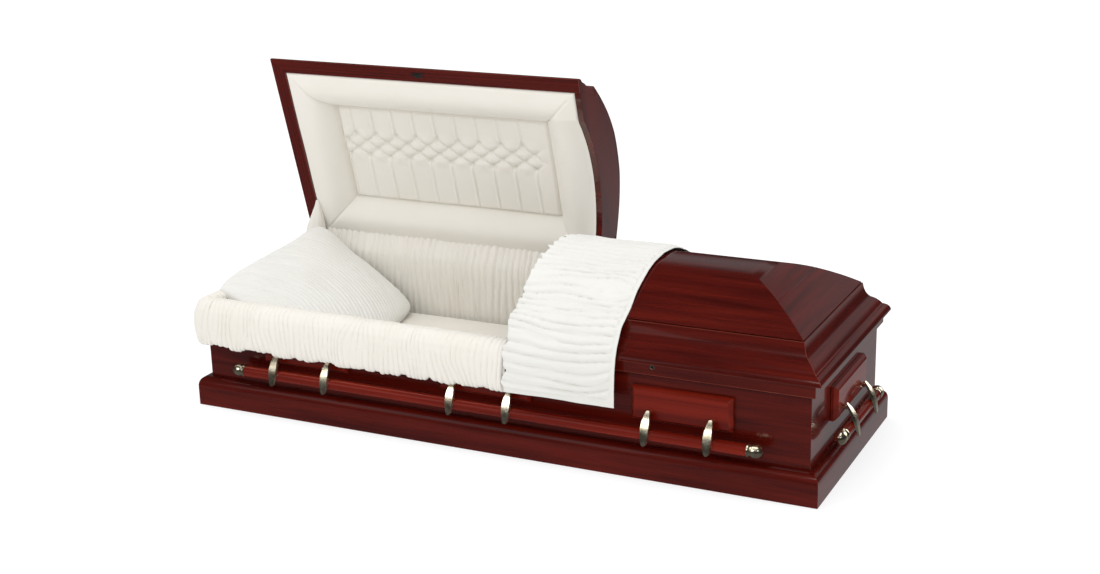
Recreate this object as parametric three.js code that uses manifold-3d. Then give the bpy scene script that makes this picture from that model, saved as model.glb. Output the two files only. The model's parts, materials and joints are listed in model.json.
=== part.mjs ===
// A wooden funeral casket with a two-part lid: the head lid stands open, the foot lid is shut.
// Millimetres, +Z up. The head end is at -X, the front is at -Y, and the origin is the centre of the underside.
import * as THREE from "three";
import { mergeVertices } from "three/addons/utils/BufferGeometryUtils.js";
import Module from "manifold-3d";

const wasm = await Module();
wasm.setup();

// Body
const BODY_LENGTH = 2042;
const BODY_WIDTH = 676;
const BOARD = 20;
const BOTTOM_BOARD = 18;
const BODY_HEIGHT = 356;
const SEAM = 0.3;

// Base moulding
const BASE_PROUD = 34;
const BASE_HEIGHT = 97;
const BASE_UPRIGHT = 62;

// Top moulding, with the lock hole in its front
const TOP_PROUD = 15;
const TOP_HEIGHT = 38;
const TOP_EASING = 3;
const LOCK_X = 551;
const LOCK_BELOW_TOP = 10;
const LOCK_RADIUS = 5;
const LOCK_DEPTH = 9;

// Lids
const LID_GAP = 2;
const LID_PAST_END = 34;
const LID_PAST_SIDE = 29.5;
const LID_CUT_X = 94;
const LID_CUT_GAP = 1;
const OPEN_ANGLE = 74.1;
const CROWN_WALL = 18;
const HEADER = 20;
const ARCH_HALF_WIDTH = 222;
const ARCH_RISE = 52;
const RIM_WIDTH = 49;
const CATCH_X = -485;
const CATCH_INSET = 24.5;
const CATCH_LENGTH = 44;
const CATCH_WIDTH = 20;
const CATCH_DEPTH = 6;

// Points of the lid's section, as [inset from the lid's edge, rise above its underside]
const RIM_EDGE = [0, 5];
const RIM_ARRIS = [21, 26];
const COVE_FOOT = [51, 54];
const COVE_TOP = [72, 102];
const CROWN_FOOT = [76, 105];
const CROWN_ARRIS = [190, 172];
const FLAT_EDGE = [293, 207];
const CROWN_TOP = 212;
const CROWN_FLAT_HALF = 6;

// Hinges at the back
const HINGE_INSET = 5.9;
const HINGE_DROP = 3.3;
const HINGE_RADIUS = 3.1;
const LEAF = 1.1;
const LEAF_WIDTH = 33;
const HINGE_PLATE = 22;
const HINGE_MARGIN = 40;

// Handles
const PLAQUE_LENGTH = 312;
const PLAQUE_BELOW_MOULDING = 34;
const PLAQUE_HEIGHT = 106;
const PLAQUE_DEPTH = 22;
const PLAQUE_BEVEL = 12;
const PLAQUE_SPACING = 640;
const BAR_RADIUS = 18.3;
const BAR_OUT = 44;
const BAR_BELOW_PLAQUE = 29;
const SIDE_BAR_LENGTH = 1700;
const END_BAR_LENGTH = 336;
const BAR_SIDES = 20;
const PIVOT_OUT = 8;
const PIVOT_ABOVE_PLAQUE_FOOT = 28.5;
const ARM_SPACING = 192;
const ARM_TOP_ABOVE_PIVOT = 6.5;
const EYE_WALL = 5;
const TIP_LENGTH = 50;
const TIP_RADIUS = 20.5;
const TIP_SIDES = 12;

// Cloth, bedding and padding
const LINING = 12;
const LINING_BELOW_TOP = 12;
const BED_TOP = 170;
const BED_GAP = 4;
const BED_ROUND = 30;
const PILLOW_HALF_WIDTH = 284;
const PILLOW_PAST_END = 5;
const PILLOW_ABOVE_TOP = 44;
const PILLOW_REACH = 491;
const PILLOW_ABOVE_BED = 14;
const PILLOW_FULLNESS = 124;
const PILLOW_BOW = 26;
const OVERTHROW_END = 73;
const OVERTHROW_BACK = 290;
const OVERTHROW_ABOVE_ARMS = 3;
const APRON_START = -975;
const APRON_END = 88;
const THROW_GAP = 1;
const THROW_LENGTH = 350;
const THROW_ABOVE_ARMS = 7;
const THROW_CLOTH = 10;
const THROW_CLEAR = 6;
const PANEL_RISE = 57;
const PANEL_INSET = 188;
const LINING_CLEAR = 1.5;

// Places that follow from the sizes above
const halfLength = BODY_LENGTH / 2;
const halfWidth = BODY_WIDTH / 2;
const lidEnd = halfLength + LID_PAST_END;
const lidSide = halfWidth + LID_PAST_SIDE;
const lidZ = BODY_HEIGHT + LID_GAP;
const hingeY = lidSide - HINGE_INSET;
const hingeZ = lidZ - HINGE_DROP;
const boardTop = BODY_HEIGHT - TOP_HEIGHT;
const insideHalfWidth = halfWidth - BOARD;
const insideHalfLength = halfLength - BOARD;
const plaqueBottom = boardTop - PLAQUE_BELOW_MOULDING - PLAQUE_HEIGHT;
const barZ = plaqueBottom - BAR_BELOW_PLAQUE;
const pivotZ = plaqueBottom + PIVOT_ABOVE_PLAQUE_FOOT;
const armTop = pivotZ + ARM_TOP_ABOVE_PIVOT;

const wood = { color: 0x4a120c, roughness: 0.18, metalness: 0 };
const brightWood = { color: 0x6e1a10, roughness: 0.2, metalness: 0 };
const metal = { color: 0x9a927c, roughness: 0.28, metalness: 1 };
const cloth = { color: 0xe9e5da, roughness: 0.85, metalness: 0 };

// A closed geometry of corner points and flat faces, turned so that its faces point out.
function closed(points, faces) {
  const corners = faces.flatMap((face) => face.slice(2).flatMap((c, i) => [face[0], face[i + 1], c]));
  let volume = 0;
  for (let i = 0; i < corners.length; i += 3) {
    const [a, b, c] = corners.slice(i, i + 3).map((n) => new THREE.Vector3(...points[n]));
    volume += a.dot(b.cross(c));
  }
  if (volume < 0) corners.reverse();
  const geometry = new THREE.BufferGeometry();
  geometry.setAttribute("position", new THREE.Float32BufferAttribute(points.flat(), 3));
  geometry.setIndex(corners);
  return geometry;
}

// A solid through level rectangles [x0, x1, y0, y1, z], from the lowest to the highest.
function stack(levels) {
  const points = levels.flatMap(([x0, x1, y0, y1, z]) => [
    [x0, y0, z],
    [x1, y0, z],
    [x1, y1, z],
    [x0, y1, z],
  ]);
  const faces = [[3, 2, 1, 0]];
  for (let i = 0; i < levels.length - 1; i++)
    for (let j = 0; j < 4; j++) {
      const k = (j + 1) % 4;
      faces.push([4 * i + j, 4 * i + k, 4 * i + 4 + k, 4 * i + 4 + j]);
    }
  const top = 4 * (levels.length - 1);
  faces.push([top, top + 1, top + 2, top + 3]);
  return closed(points, faces);
}

// A prism of a [y, z] outline between two places along X.
function alongX(outline, from, to) {
  const shape = new THREE.Shape(outline.map(([y, z]) => new THREE.Vector2(y, z)));
  const geometry = new THREE.ExtrudeGeometry(shape, { depth: to - from, bevelEnabled: false });
  const [x, y, z] = [0, 1, 2].map((i) => new THREE.Vector3().setComponent(i, 1));
  geometry.applyMatrix4(new THREE.Matrix4().makeBasis(y, z, x));
  return geometry.translate(from, 0, 0);
}

// Carries an outline of [offset to the left, z] points along a plan path, mitred at its corners.
// The neighbours, if given, are the corners that the path's cut ends would go on to.
function mitred(path, outline, ring = false, before = null, after = null) {
  const n = path.length;
  const m = outline.length;
  const left = (a, b) => {
    const along = new THREE.Vector2(b[0] - a[0], b[1] - a[1]).normalize();
    return new THREE.Vector2(-along.y, along.x);
  };
  const points = path.flatMap((corner, i) => {
    const last = i > 0 ? path[i - 1] : ring ? path[n - 1] : before;
    const next = i < n - 1 ? path[i + 1] : ring ? path[0] : after;
    const into = left(last || corner, last ? corner : next);
    const out = left(next ? corner : last, next || corner);
    const mitre = into.clone().add(out).divideScalar(1 + into.dot(out));
    return outline.map(([offset, z]) => [corner[0] + offset * mitre.x, corner[1] + offset * mitre.y, z]);
  });
  const faces = [];
  for (let i = 0; i < (ring ? n : n - 1); i++)
    for (let j = 0; j < m; j++) {
      const k = (j + 1) % m;
      const a = i * m;
      const b = ((i + 1) % n) * m;
      faces.push([a + j, a + k, b + k, b + j]);
    }
  if (!ring) {
    const section = outline.map(([offset, z]) => new THREE.Vector2(offset, z));
    const whole = Math.sign(THREE.ShapeUtils.area(section));
    for (const [a, b, c] of THREE.ShapeUtils.triangulateShape(section, [])) {
      const same = Math.sign(THREE.ShapeUtils.area([section[a], section[b], section[c]])) === whole;
      const [p, q, r] = same ? [a, b, c] : [c, b, a];
      faces.push([r, q, p], [p, q, r].map((i) => i + (n - 1) * m));
    }
  }
  return closed(points, faces);
}

// Points of a smooth bend from one point to another, drawn towards a third.
function bend(from, towards, to, steps) {
  const curve = new THREE.QuadraticBezierCurve(
    new THREE.Vector2(...from),
    new THREE.Vector2(...towards),
    new THREE.Vector2(...to),
  );
  return curve.getPoints(steps).map((p) => p.toArray());
}

// Points of a circle's arc, from one angle to another, in degrees.
function arc([x, y], radius, from, to, steps) {
  return Array.from({ length: steps + 1 }, (_, i) => {
    const angle = THREE.MathUtils.degToRad(from + ((to - from) * i) / steps);
    return [x + radius * Math.cos(angle), y + radius * Math.sin(angle)];
  });
}

function toSolid(geometry) {
  const bare = geometry.clone();
  bare.deleteAttribute("normal");
  bare.deleteAttribute("uv");
  const { attributes, index } = mergeVertices(bare, 1e-3);
  const vertProperties = attributes.position.array;
  return new wasm.Manifold(new wasm.Mesh({ numProp: 3, vertProperties, triVerts: new Uint32Array(index.array) }));
}

function toGeometry(solid) {
  const mesh = solid.getMesh();
  const geometry = new THREE.BufferGeometry();
  geometry.setAttribute("position", new THREE.BufferAttribute(mesh.vertProperties, 3));
  geometry.setIndex(new THREE.BufferAttribute(mesh.triVerts, 1));
  return geometry;
}

function cut(geometry, ...tools) {
  return toGeometry(tools.reduce((left, tool) => left.subtract(toSolid(tool)), toSolid(geometry)));
}

function join(geometry, ...others) {
  return toGeometry(others.reduce((whole, other) => whole.add(toSolid(other)), toSolid(geometry)));
}

function shared(geometry, other) {
  return toGeometry(toSolid(geometry).intersect(toSolid(other)));
}

function mesh(name, geometry, look) {
  const made = new THREE.Mesh(geometry, new THREE.MeshStandardMaterial(look));
  made.name = name;
  return made;
}

const casket = new THREE.Group();
const bodyPlan = [
  [-halfLength, -halfWidth],
  [halfLength, -halfWidth],
  [halfLength, halfWidth],
  [-halfLength, halfWidth],
];

// Four upright boards with mitred corners stand on the bottom board.
function addBoards() {
  const names = ["board_front", "board_foot", "board_back", "board_head"];
  const section = [
    [0, BOTTOM_BOARD + SEAM],
    [BOARD, BOTTOM_BOARD + SEAM],
    [BOARD, boardTop - SEAM],
    [0, boardTop - SEAM],
  ];
  names.forEach((name, i) => {
    const [from, to] = [bodyPlan[i], bodyPlan[(i + 1) % 4]];
    const along = [Math.sign(to[0] - from[0]), Math.sign(to[1] - from[1])];
    const ends = [
      [from[0] + SEAM * along[0], from[1] + SEAM * along[1]],
      [to[0] - SEAM * along[0], to[1] - SEAM * along[1]],
    ];
    const before = [ends[0][0] - along[1], ends[0][1] + along[0]];
    const after = [ends[1][0] - along[1], ends[1][1] + along[0]];
    casket.add(mesh(name, mitred(ends, section, false, before, after), wood));
  });
  const plan = [SEAM - halfLength, halfLength - SEAM, SEAM - halfWidth, halfWidth - SEAM];
  casket.add(mesh("bottom_board", stack([[...plan, 0], [...plan, BOTTOM_BOARD]]), wood));
}

function addMouldings() {
  const base = [
    [-SEAM, 0],
    [-SEAM, BASE_HEIGHT],
    ...bend([-BASE_PROUD, BASE_UPRIGHT], [-BASE_PROUD, BASE_HEIGHT], [-SEAM, BASE_HEIGHT], 6)
      .reverse()
      .slice(1),
    [-BASE_PROUD, 0],
  ];
  casket.add(mesh("base_moulding", mitred(bodyPlan, base, true), wood));
  const top = [
    [BOARD, boardTop],
    [TOP_EASING - TOP_PROUD, boardTop],
    [-TOP_PROUD, boardTop + TOP_EASING],
    [-TOP_PROUD, BODY_HEIGHT - TOP_EASING],
    [TOP_EASING - TOP_PROUD, BODY_HEIGHT],
    [BOARD, BODY_HEIGHT],
  ];
  const lockHole = new THREE.CylinderGeometry(LOCK_RADIUS, LOCK_RADIUS, 2 * LOCK_DEPTH, 12);
  lockHole.translate(LOCK_X, -halfWidth - TOP_PROUD, BODY_HEIGHT - LOCK_BELOW_TOP);
  casket.add(mesh("top_moulding", cut(mitred(bodyPlan, top, true), lockHole), wood));
}

// The rim's outer face, from its lower edge to the crown's foot: an arris, a bend and a cove.
function rimFace() {
  return [
    [0, 0],
    ...bend(RIM_EDGE, [4, 20], RIM_ARRIS, 3),
    ...bend(RIM_ARRIS, [35, 46], COVE_FOOT, 3).slice(1),
    ...bend(COVE_FOOT, [68, 68], COVE_TOP, 4).slice(1),
  ];
}

// The crown's outer face, from its foot to the middle of the lid.
function crownFace() {
  const middle = lidSide - CROWN_FLAT_HALF;
  return [
    ...bend(CROWN_FOOT, [130, 143], CROWN_ARRIS, 5),
    ...bend(CROWN_ARRIS, [240, 195], FLAT_EDGE, 4).slice(1),
    ...bend(FLAT_EDGE, [(FLAT_EDGE[0] + middle) / 2, CROWN_TOP], [middle, CROWN_TOP], 2).slice(1),
  ];
}

// The same face moved in by a depth square to itself.
function within(face, depth) {
  return face.map(([inset, rise], i) => {
    const [a, b] = [face[Math.max(i - 1, 0)], face[Math.min(i + 1, face.length - 1)]];
    const size = Math.hypot(b[0] - a[0], b[1] - a[1]);
    return [inset + (depth * (b[1] - a[1])) / size, rise - (depth * (b[0] - a[0])) / size];
  });
}

// A rounded roof with a hip at one end and a square cut at the other, from [inset, rise] points.
function roof(face, hipX, cutX) {
  const out = Math.sign(hipX - cutX);
  return stack(
    face.map(([inset, rise]) => {
      const hip = hipX - out * inset;
      const across = Math.min(inset, lidSide - 1) - lidSide;
      return [Math.min(hip, cutX), Math.max(hip, cutX), across, -across, lidZ + rise];
    }),
  );
}

function crown(hipX, cutX) {
  const out = Math.sign(hipX - cutX);
  const foot = [CROWN_FOOT[0], COVE_TOP[1] + SEAM];
  const outer = crownFace();
  const inner = within(outer, CROWN_WALL);
  const start = [inner[0][0], 0];
  const shell = cut(roof([foot, ...outer], hipX, cutX), roof([start, ...inner], hipX, cutX + out * HEADER));
  const behindRim = rimBack().map(([inset, rise]) => [inset + SEAM + 0.1, rise]);
  const inWall = within(outer, CROWN_WALL / 2).filter(([inset]) => inset > behindRim[0][0] + 2);
  const half = [...behindRim.reverse(), ...inWall].map(([inset, rise]) => [lidSide - inset, lidZ + rise]);
  const outline = [...half, ...half.map(([y, z]) => [-y, z]).reverse()];
  const x = [cutX, cutX + out * HEADER].sort((a, b) => a - b);
  return cut(join(shell, alongX(outline, ...x)), arch(0, cutX, HEADER, out));
}

// The tool that cuts the low arch, larger all round by a margin, through a depth from the cut end.
function arch(margin, fromX, depth, out) {
  const span = ARCH_HALF_WIDTH + margin;
  const rise = ARCH_RISE + margin;
  const radius = (span * span + rise * rise) / (2 * rise);
  const half = THREE.MathUtils.radToDeg(Math.asin(span / radius));
  const top = arc([0, lidZ + rise - radius], radius, 90 - half, 90 + half, 12);
  const x = [fromX - out, fromX + out * (depth + 1)].sort((a, b) => a - b);
  return alongX([[span, lidZ - 1], ...top, [-span, lidZ - 1]], ...x);
}

// The rim's inner face, from its top to its lower edge.
function rimBack() {
  return [
    [RIM_WIDTH + 55, COVE_TOP[1]],
    [RIM_WIDTH + 27, 56],
    [RIM_WIDTH, 27],
    [RIM_WIDTH, 0],
  ];
}

function rim(hipX, cutX) {
  const out = Math.sign(hipX - cutX);
  const path = [
    [cutX, -out * lidSide],
    [hipX, -out * lidSide],
    [hipX, out * lidSide],
    [cutX, out * lidSide],
  ];
  const section = [...rimFace(), ...rimBack()].map(([inset, rise]) => [inset, lidZ + rise]);
  return mitred(path, section);
}

// Padding inside a lid: a tray whose border swells towards the opening round a flat panel.
function lidPadding(hipX, cutX) {
  const out = Math.sign(hipX - cutX);
  const cutSide = cutX + out * (HEADER + LINING_CLEAR);
  const block = [
    [RIM_WIDTH + LINING_CLEAR, 0],
    [RIM_WIDTH + LINING_CLEAR, 26],
    [RIM_WIDTH + 29, 57],
    [RIM_WIDTH + 57, 98],
  ];
  const recess = [
    [104, -1],
    [104, 0],
    [128, 6],
    [152, 18],
    [170, 34],
    [PANEL_INSET - 8, 48],
    [PANEL_INSET, PANEL_RISE],
  ];
  const levels = (points, own) =>
    points.map(([inset, rise]) => {
      const ends = [hipX - out * inset, cutSide + out * own * (inset - RIM_WIDTH)].sort((a, b) => a - b);
      return [...ends, inset - lidSide, lidSide - inset, lidZ + rise];
    });
  const borderWidth = PANEL_INSET - RIM_WIDTH;
  return cut(stack(levels(block, 0)), stack(levels(recess, 1)), arch(3, cutSide, borderWidth, out));
}

function lidLeaf(fromX, toX) {
  const y1 = hingeY - HINGE_RADIUS - SEAM;
  const z1 = lidZ - SEAM - 0.1;
  const section = [
    [y1 - LEAF_WIDTH, z1 - LEAF],
    [y1, z1 - LEAF],
    [y1, z1],
    [y1 - LEAF_WIDTH, z1],
  ];
  return alongX(section, fromX, toX);
}

function addHinge() {
  const plateY = halfWidth + TOP_PROUD + 0.4;
  const knuckle = arc([hingeY, hingeZ], HINGE_RADIUS, -147, 170, 10);
  const section = [
    [plateY, hingeZ - HINGE_PLATE],
    [plateY + 1.5, hingeZ - HINGE_PLATE],
    [plateY + 1.5, hingeZ - HINGE_RADIUS + 0.8],
    ...knuckle,
    [plateY, hingeZ - 0.3],
  ];
  const end = halfLength - HINGE_MARGIN;
  casket.add(mesh("hinge_body_leaf", alongX(section, -end, end), metal));
}

// Each lid turns in a group whose origin lies on the hinge line.
function addLid(name, hipX, cutX, angle) {
  const group = new THREE.Group();
  group.position.set(0, hingeY, hingeZ);
  group.rotation.x = THREE.MathUtils.degToRad(-angle);
  const shut = new THREE.Group();
  shut.position.set(0, -hingeY, -hingeZ);
  const out = Math.sign(hipX - cutX);
  const isHead = out < 0;
  const catchCut = stack(
    [lidZ - 1, lidZ + CATCH_DEPTH].map((z) => [
      CATCH_X - CATCH_LENGTH / 2,
      CATCH_X + CATCH_LENGTH / 2,
      CATCH_INSET - CATCH_WIDTH / 2 - lidSide,
      CATCH_INSET + CATCH_WIDTH / 2 - lidSide,
      z,
    ]),
  );
  const leafEnds = [hipX - out * (LID_PAST_END + HINGE_MARGIN), cutX + out * HINGE_MARGIN].sort((a, b) => a - b);
  shut.add(
    mesh(name + "_crown", crown(hipX, cutX), wood),
    mesh(name + "_rim", isHead ? cut(rim(hipX, cutX), catchCut) : rim(hipX, cutX), wood),
    mesh(name + "_padding", lidPadding(hipX, cutX), cloth),
    mesh(name + "_hinge_leaf", lidLeaf(...leafEnds), metal),
  );
  if (!isHead) shut.add(mesh("throw", throwCloth(cutX), cloth));
  group.add(shut);
  casket.add(group);
}

// The cloth that lies over the foot lid from back to front and hangs down at the front.
function throwCloth(cutX) {
  const lifted = ([inset, rise], by) => [inset - 0.55 * by, rise + 0.83 * by];
  const over = [
    [CROWN_FOOT[0] + 30, CROWN_FOOT[1] + 18],
    CROWN_ARRIS,
    FLAT_EDGE,
    [lidSide, CROWN_TOP + 2],
  ];
  const side = (by) => over.map((point) => lifted(point, by));
  const drop = lidZ - armTop - THROW_ABOVE_ARMS;
  const hang = (by) => [
    [-20 - by, -drop],
    [-18 - by, -0.58 * drop],
    [-14 - by, -0.22 * drop],
    [-6 - by, 6],
    [6 - by, 34],
    [42 - by, 80],
  ];
  const halves = (by) => {
    const front = [...hang(by - THROW_CLEAR), ...side(by)];
    const back = side(by).slice(0, -1).reverse();
    return [
      ...front.map(([inset, rise]) => [inset - lidSide, lidZ + rise]),
      ...back.map(([inset, rise]) => [lidSide - inset, lidZ + rise]),
    ];
  };
  const outline = [...halves(THROW_CLEAR), ...halves(THROW_CLEAR + THROW_CLOTH).reverse()];
  return alongX(outline, cutX + THROW_GAP, cutX + THROW_GAP + THROW_LENGTH);
}

// A raised block with a bevelled face, lying on its back at the origin.
function plaque() {
  const [a, b] = [PLAQUE_LENGTH / 2, PLAQUE_HEIGHT / 2];
  const [c, d] = [a - PLAQUE_BEVEL, b - PLAQUE_BEVEL];
  return stack([
    [-a, a, -b, b, SEAM],
    [-a, a, -b, b, PLAQUE_DEPTH - PLAQUE_BEVEL],
    [-c, c, -d, d, PLAQUE_DEPTH],
  ]);
}

// A leaf-shaped arm from its pivot on the plaque, out and down over the bar, with an eye round the bar.
// Its section is drawn with Y towards the plaque, and the plaque's face at Y = 0.
function arm() {
  const barOut = BAR_OUT - PLAQUE_DEPTH;
  const eye = BAR_RADIUS + EYE_WALL;
  const top = armTop;
  const outer = new THREE.CubicBezierCurve(
    new THREE.Vector2(PIVOT_OUT + 3, top),
    new THREE.Vector2(barOut + 8, top - 8),
    new THREE.Vector2(barOut + eye - 3, barZ + 34),
    new THREE.Vector2(barOut + eye, barZ),
  );
  const section = [
    ...outer.getPoints(5).map((p) => p.toArray()),
    ...arc([barOut, barZ], eye, 0, -245, 12).slice(1),
    [PIVOT_OUT + 3, pivotZ - 22],
    [PIVOT_OUT - 1, pivotZ - 10],
    [PIVOT_OUT - 5.5, pivotZ - 4],
    [PIVOT_OUT - 5.5, top - 3],
    [PIVOT_OUT - 3, top],
  ].map(([outward, z]) => [-outward, z]);
  const width = new THREE.SplineCurve(
    [
      [6, top + 1],
      [10, pivotZ],
      [15, pivotZ - 16],
      [18.5, barZ + 14],
      [18, barZ],
      [14, barZ - 14],
      [8, barZ - eye - 1],
    ].map(([half, z]) => new THREE.Vector2(half, z)),
  );
  const right = width.getPoints(9).map((p) => p.toArray());
  const leaf = new THREE.Shape([...right, ...right.map(([x, z]) => [-x, z]).reverse()].map((p) => new THREE.Vector2(...p)));
  const front = new THREE.ExtrudeGeometry(leaf, { depth: 2 * eye + PLAQUE_DEPTH + BAR_OUT, bevelEnabled: false });
  front.rotateX(Math.PI / 2).translate(0, PLAQUE_DEPTH, 0);
  const barHole = new THREE.CylinderGeometry(BAR_RADIUS + SEAM, BAR_RADIUS + SEAM, 60, BAR_SIDES);
  barHole.rotateZ(Math.PI / 2).translate(0, -barOut, barZ);
  return cut(shared(alongX(section, -20, 20), front), barHole);
}

// A turned metal end for a bar, standing out along X from the bar's end.
function barTip() {
  const profile = [
    [0, 0],
    [TIP_RADIUS, 0],
    [TIP_RADIUS, 7],
    [TIP_RADIUS - 4, 10],
    [TIP_RADIUS - 4, 14],
    [TIP_RADIUS - 0.5, 20],
    [TIP_RADIUS - 0.5, TIP_LENGTH - 16],
    [TIP_RADIUS - 6, TIP_LENGTH - 5],
    [0, TIP_LENGTH],
  ].map(([x, y]) => new THREE.Vector2(x, y));
  return new THREE.LatheGeometry(profile, TIP_SIDES).rotateZ(-Math.PI / 2);
}

// The handle set of one side, drawn for the front and turned about Z to its own side.
function addHandle(side, turn, reach, plaques, barLength) {
  const group = new THREE.Group();
  group.rotation.z = THREE.MathUtils.degToRad(turn);
  plaques.forEach((x, i) => {
    const block = mesh("plaque_" + side + (plaques.length > 1 ? "_" + (i + 1) : ""), plaque(), brightWood);
    block.rotation.x = Math.PI / 2;
    block.position.set(x, -reach, plaqueBottom + PLAQUE_HEIGHT / 2);
    group.add(block);
    [-ARM_SPACING / 2, ARM_SPACING / 2].forEach((offset, j) => {
      const made = mesh("arm_" + side + "_" + (2 * i + j + 1), arm(), metal);
      made.position.set(x + offset, -reach - PLAQUE_DEPTH, 0);
      group.add(made);
    });
  });
  const rod = new THREE.CylinderGeometry(BAR_RADIUS, BAR_RADIUS, barLength, BAR_SIDES).rotateZ(Math.PI / 2);
  const bar = mesh("bar_" + side, rod, brightWood);
  bar.position.set(0, -reach - BAR_OUT, barZ);
  group.add(bar);
  [1, -1].forEach((way, i) => {
    const tip = mesh("tip_" + side + "_" + (i + 1), barTip(), metal);
    tip.position.set(way * (barLength / 2 + SEAM), -reach - BAR_OUT, barZ);
    tip.rotation.z = way > 0 ? 0 : Math.PI;
    group.add(tip);
  });
  casket.add(group);
}

// The bed, the cloth on the inside of the boards, and the pillow that leans on the head end.
function addBedding() {
  const liningSection = [
    [BOARD + SEAM, BOTTOM_BOARD + SEAM],
    [BOARD + LINING, BOTTOM_BOARD + SEAM],
    [BOARD + LINING, BODY_HEIGHT - LINING_BELOW_TOP],
    [BOARD + SEAM, BODY_HEIGHT - LINING_BELOW_TOP],
  ];
  casket.add(mesh("side_lining", mitred(bodyPlan, liningSection, true), cloth));
  const [x, y] = [insideHalfLength - LINING - BED_GAP, insideHalfWidth - LINING - BED_GAP];
  const level = (inset, z) => [inset - x, x - inset, inset - y, y - inset, z];
  const bed = stack([
    level(0, BOTTOM_BOARD + SEAM),
    level(0, BED_TOP - BED_ROUND),
    level(BED_ROUND * 0.29, BED_TOP - BED_ROUND * 0.29),
    level(BED_ROUND, BED_TOP),
  ]);
  casket.add(mesh("mattress", bed, cloth));
  casket.add(mesh("pillow", pillow(10, 10), cloth));
}

// A cushion between two edges: along its slope it bows up, and it swells from its four edges to the middle.
function pillow(rows, columns) {
  const [x0, z0] = [-halfLength - PILLOW_PAST_END, BODY_HEIGHT + PILLOW_ABOVE_TOP];
  const [x1, z1] = [x0 + PILLOW_REACH, BED_TOP + PILLOW_ABOVE_BED];
  const slope = Math.atan2(z1 - z0, x1 - x0);
  const point = (a, b, side) => {
    const swell = Math.pow(Math.sin(Math.PI * a) * Math.sin(Math.PI * b), 0.62);
    const out = (side * PILLOW_FULLNESS * swell) / 2 + PILLOW_BOW * Math.sin(Math.PI * a);
    return [
      x0 + a * (x1 - x0) - out * Math.sin(slope),
      (2 * b - 1) * PILLOW_HALF_WIDTH * (1 - 0.05 * Math.sin(Math.PI * a)),
      z0 + a * (z1 - z0) + out * Math.cos(slope),
    ];
  };
  const points = [];
  const faces = [];
  const number = new Map();
  const at = (i, j, side) => {
    const edge = i === 0 || j === 0 || i === rows || j === columns;
    const key = [i, j, edge ? 0 : side].join();
    if (!number.has(key)) number.set(key, points.push(point(i / rows, j / columns, edge ? 0 : side)) - 1);
    return number.get(key);
  };
  for (const side of [1, -1])
    for (let i = 0; i < rows; i++)
      for (let j = 0; j < columns; j++) {
        const face = [at(i, j, side), at(i + 1, j, side), at(i + 1, j + 1, side), at(i, j + 1, side)];
        faces.push(side > 0 ? face : face.reverse());
      }
  return closed(points, faces);
}

// Rolls of cloth laid over the front and head rims and hanging down outside.
// Their outlines are [outward, share of the height from the hem to the body's top].
function addOverthrow() {
  const frontRoll = [
    [32, 0],
    [40, 0],
    [47, 0.057],
    [52, 0.207],
    [54, 0.421],
    [52, 0.671],
    [45, 0.9],
    [32, 1.071],
    [12, 1.171],
    [-8, 1.2],
    [-26, 1.157],
    [-38, 1.043],
    [-44, 0.871],
    [-44, 0.671],
    [-36, 0.671],
    [-35, 0.929],
    [-26, 1.057],
    [-8, 1.114],
    [12, 1.086],
    [27, 0.986],
    [37, 0.843],
    [43, 0.657],
    [45, 0.421],
    [42, 0.207],
  ];
  const headRoll = [
    [24, 0.071],
    [32, 0.057],
    [38, 0.114],
    [42, 0.279],
    [43, 0.493],
    [40, 0.707],
    [32, 0.9],
    [20, 1.029],
    [4, 1.079],
    [-12, 1.079],
    [-20, 1.057],
    [-20, 1.029],
    [8, 1.021],
    [18, 0.979],
    [27, 0.814],
    [31, 0.6],
    [33, 0.386],
    [30, 0.207],
  ];
  const hem = armTop + OVERTHROW_ABOVE_ARMS;
  const hung = (roll) => roll.map(([outward, share]) => [outward, hem + share * (BODY_HEIGHT - hem)]);
  const [x, y] = [-halfLength, -halfWidth];
  const front = mitred([[OVERTHROW_END, y], [x + SEAM, y]], hung(frontRoll), false, null, [x + SEAM, y + 1]);
  const head = mitred([[x, y + SEAM], [x, OVERTHROW_BACK]], hung(headRoll), false, [x + 1, y + SEAM]);
  casket.add(mesh("overthrow_front", front, cloth), mesh("overthrow_head", head, cloth));
}

// Cloth from the back lining up over the hinge to the open lid, and the peak that hides the lid stay.
function addHingeCloth() {
  const apron = [
    [-35, -8],
    [-30, 14],
    [-16, 40],
    [-4, 65],
    [0.5, 64],
    [-9, 41],
    [-22, 14],
    [-28, -8],
  ].map(([y, rise]) => [y + halfWidth, rise + BODY_HEIGHT]);
  casket.add(mesh("hinge_apron", alongX(apron, APRON_START, APRON_END), cloth));
  const levels = [
    [-25, 37, -42, 16, 4],
    [-27, 39, -38, 6, 44],
    [-19, 37, -32, -4, 84],
    [-3, 33, -30, -13, 124],
    [11, 29, -29, -21, 159],
    [17, 25, -28.5, -25, 174],
  ];
  const peak = stack(
    levels.map(([x0, x1, y0, y1, rise]) => [
      x0 - halfLength,
      x1 - halfLength,
      y0 + halfWidth,
      y1 + halfWidth,
      rise + BODY_HEIGHT,
    ]),
  );
  casket.add(mesh("stay_cover", peak, cloth));
}

addBoards();
addMouldings();
addHinge();
addLid("head_lid", -lidEnd, LID_CUT_X - LID_CUT_GAP / 2, OPEN_ANGLE);
addLid("foot_lid", lidEnd, LID_CUT_X + LID_CUT_GAP / 2, 0);
addHandle("front", 0, halfWidth, [-PLAQUE_SPACING, 0, PLAQUE_SPACING], SIDE_BAR_LENGTH);
addHandle("back", 180, halfWidth, [-PLAQUE_SPACING, 0, PLAQUE_SPACING], SIDE_BAR_LENGTH);
addHandle("foot", 90, halfLength, [0], END_BAR_LENGTH);
addHandle("head", -90, halfLength, [0], END_BAR_LENGTH);
addBedding();
addOverthrow();
addHingeCloth();

export default casket;
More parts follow.
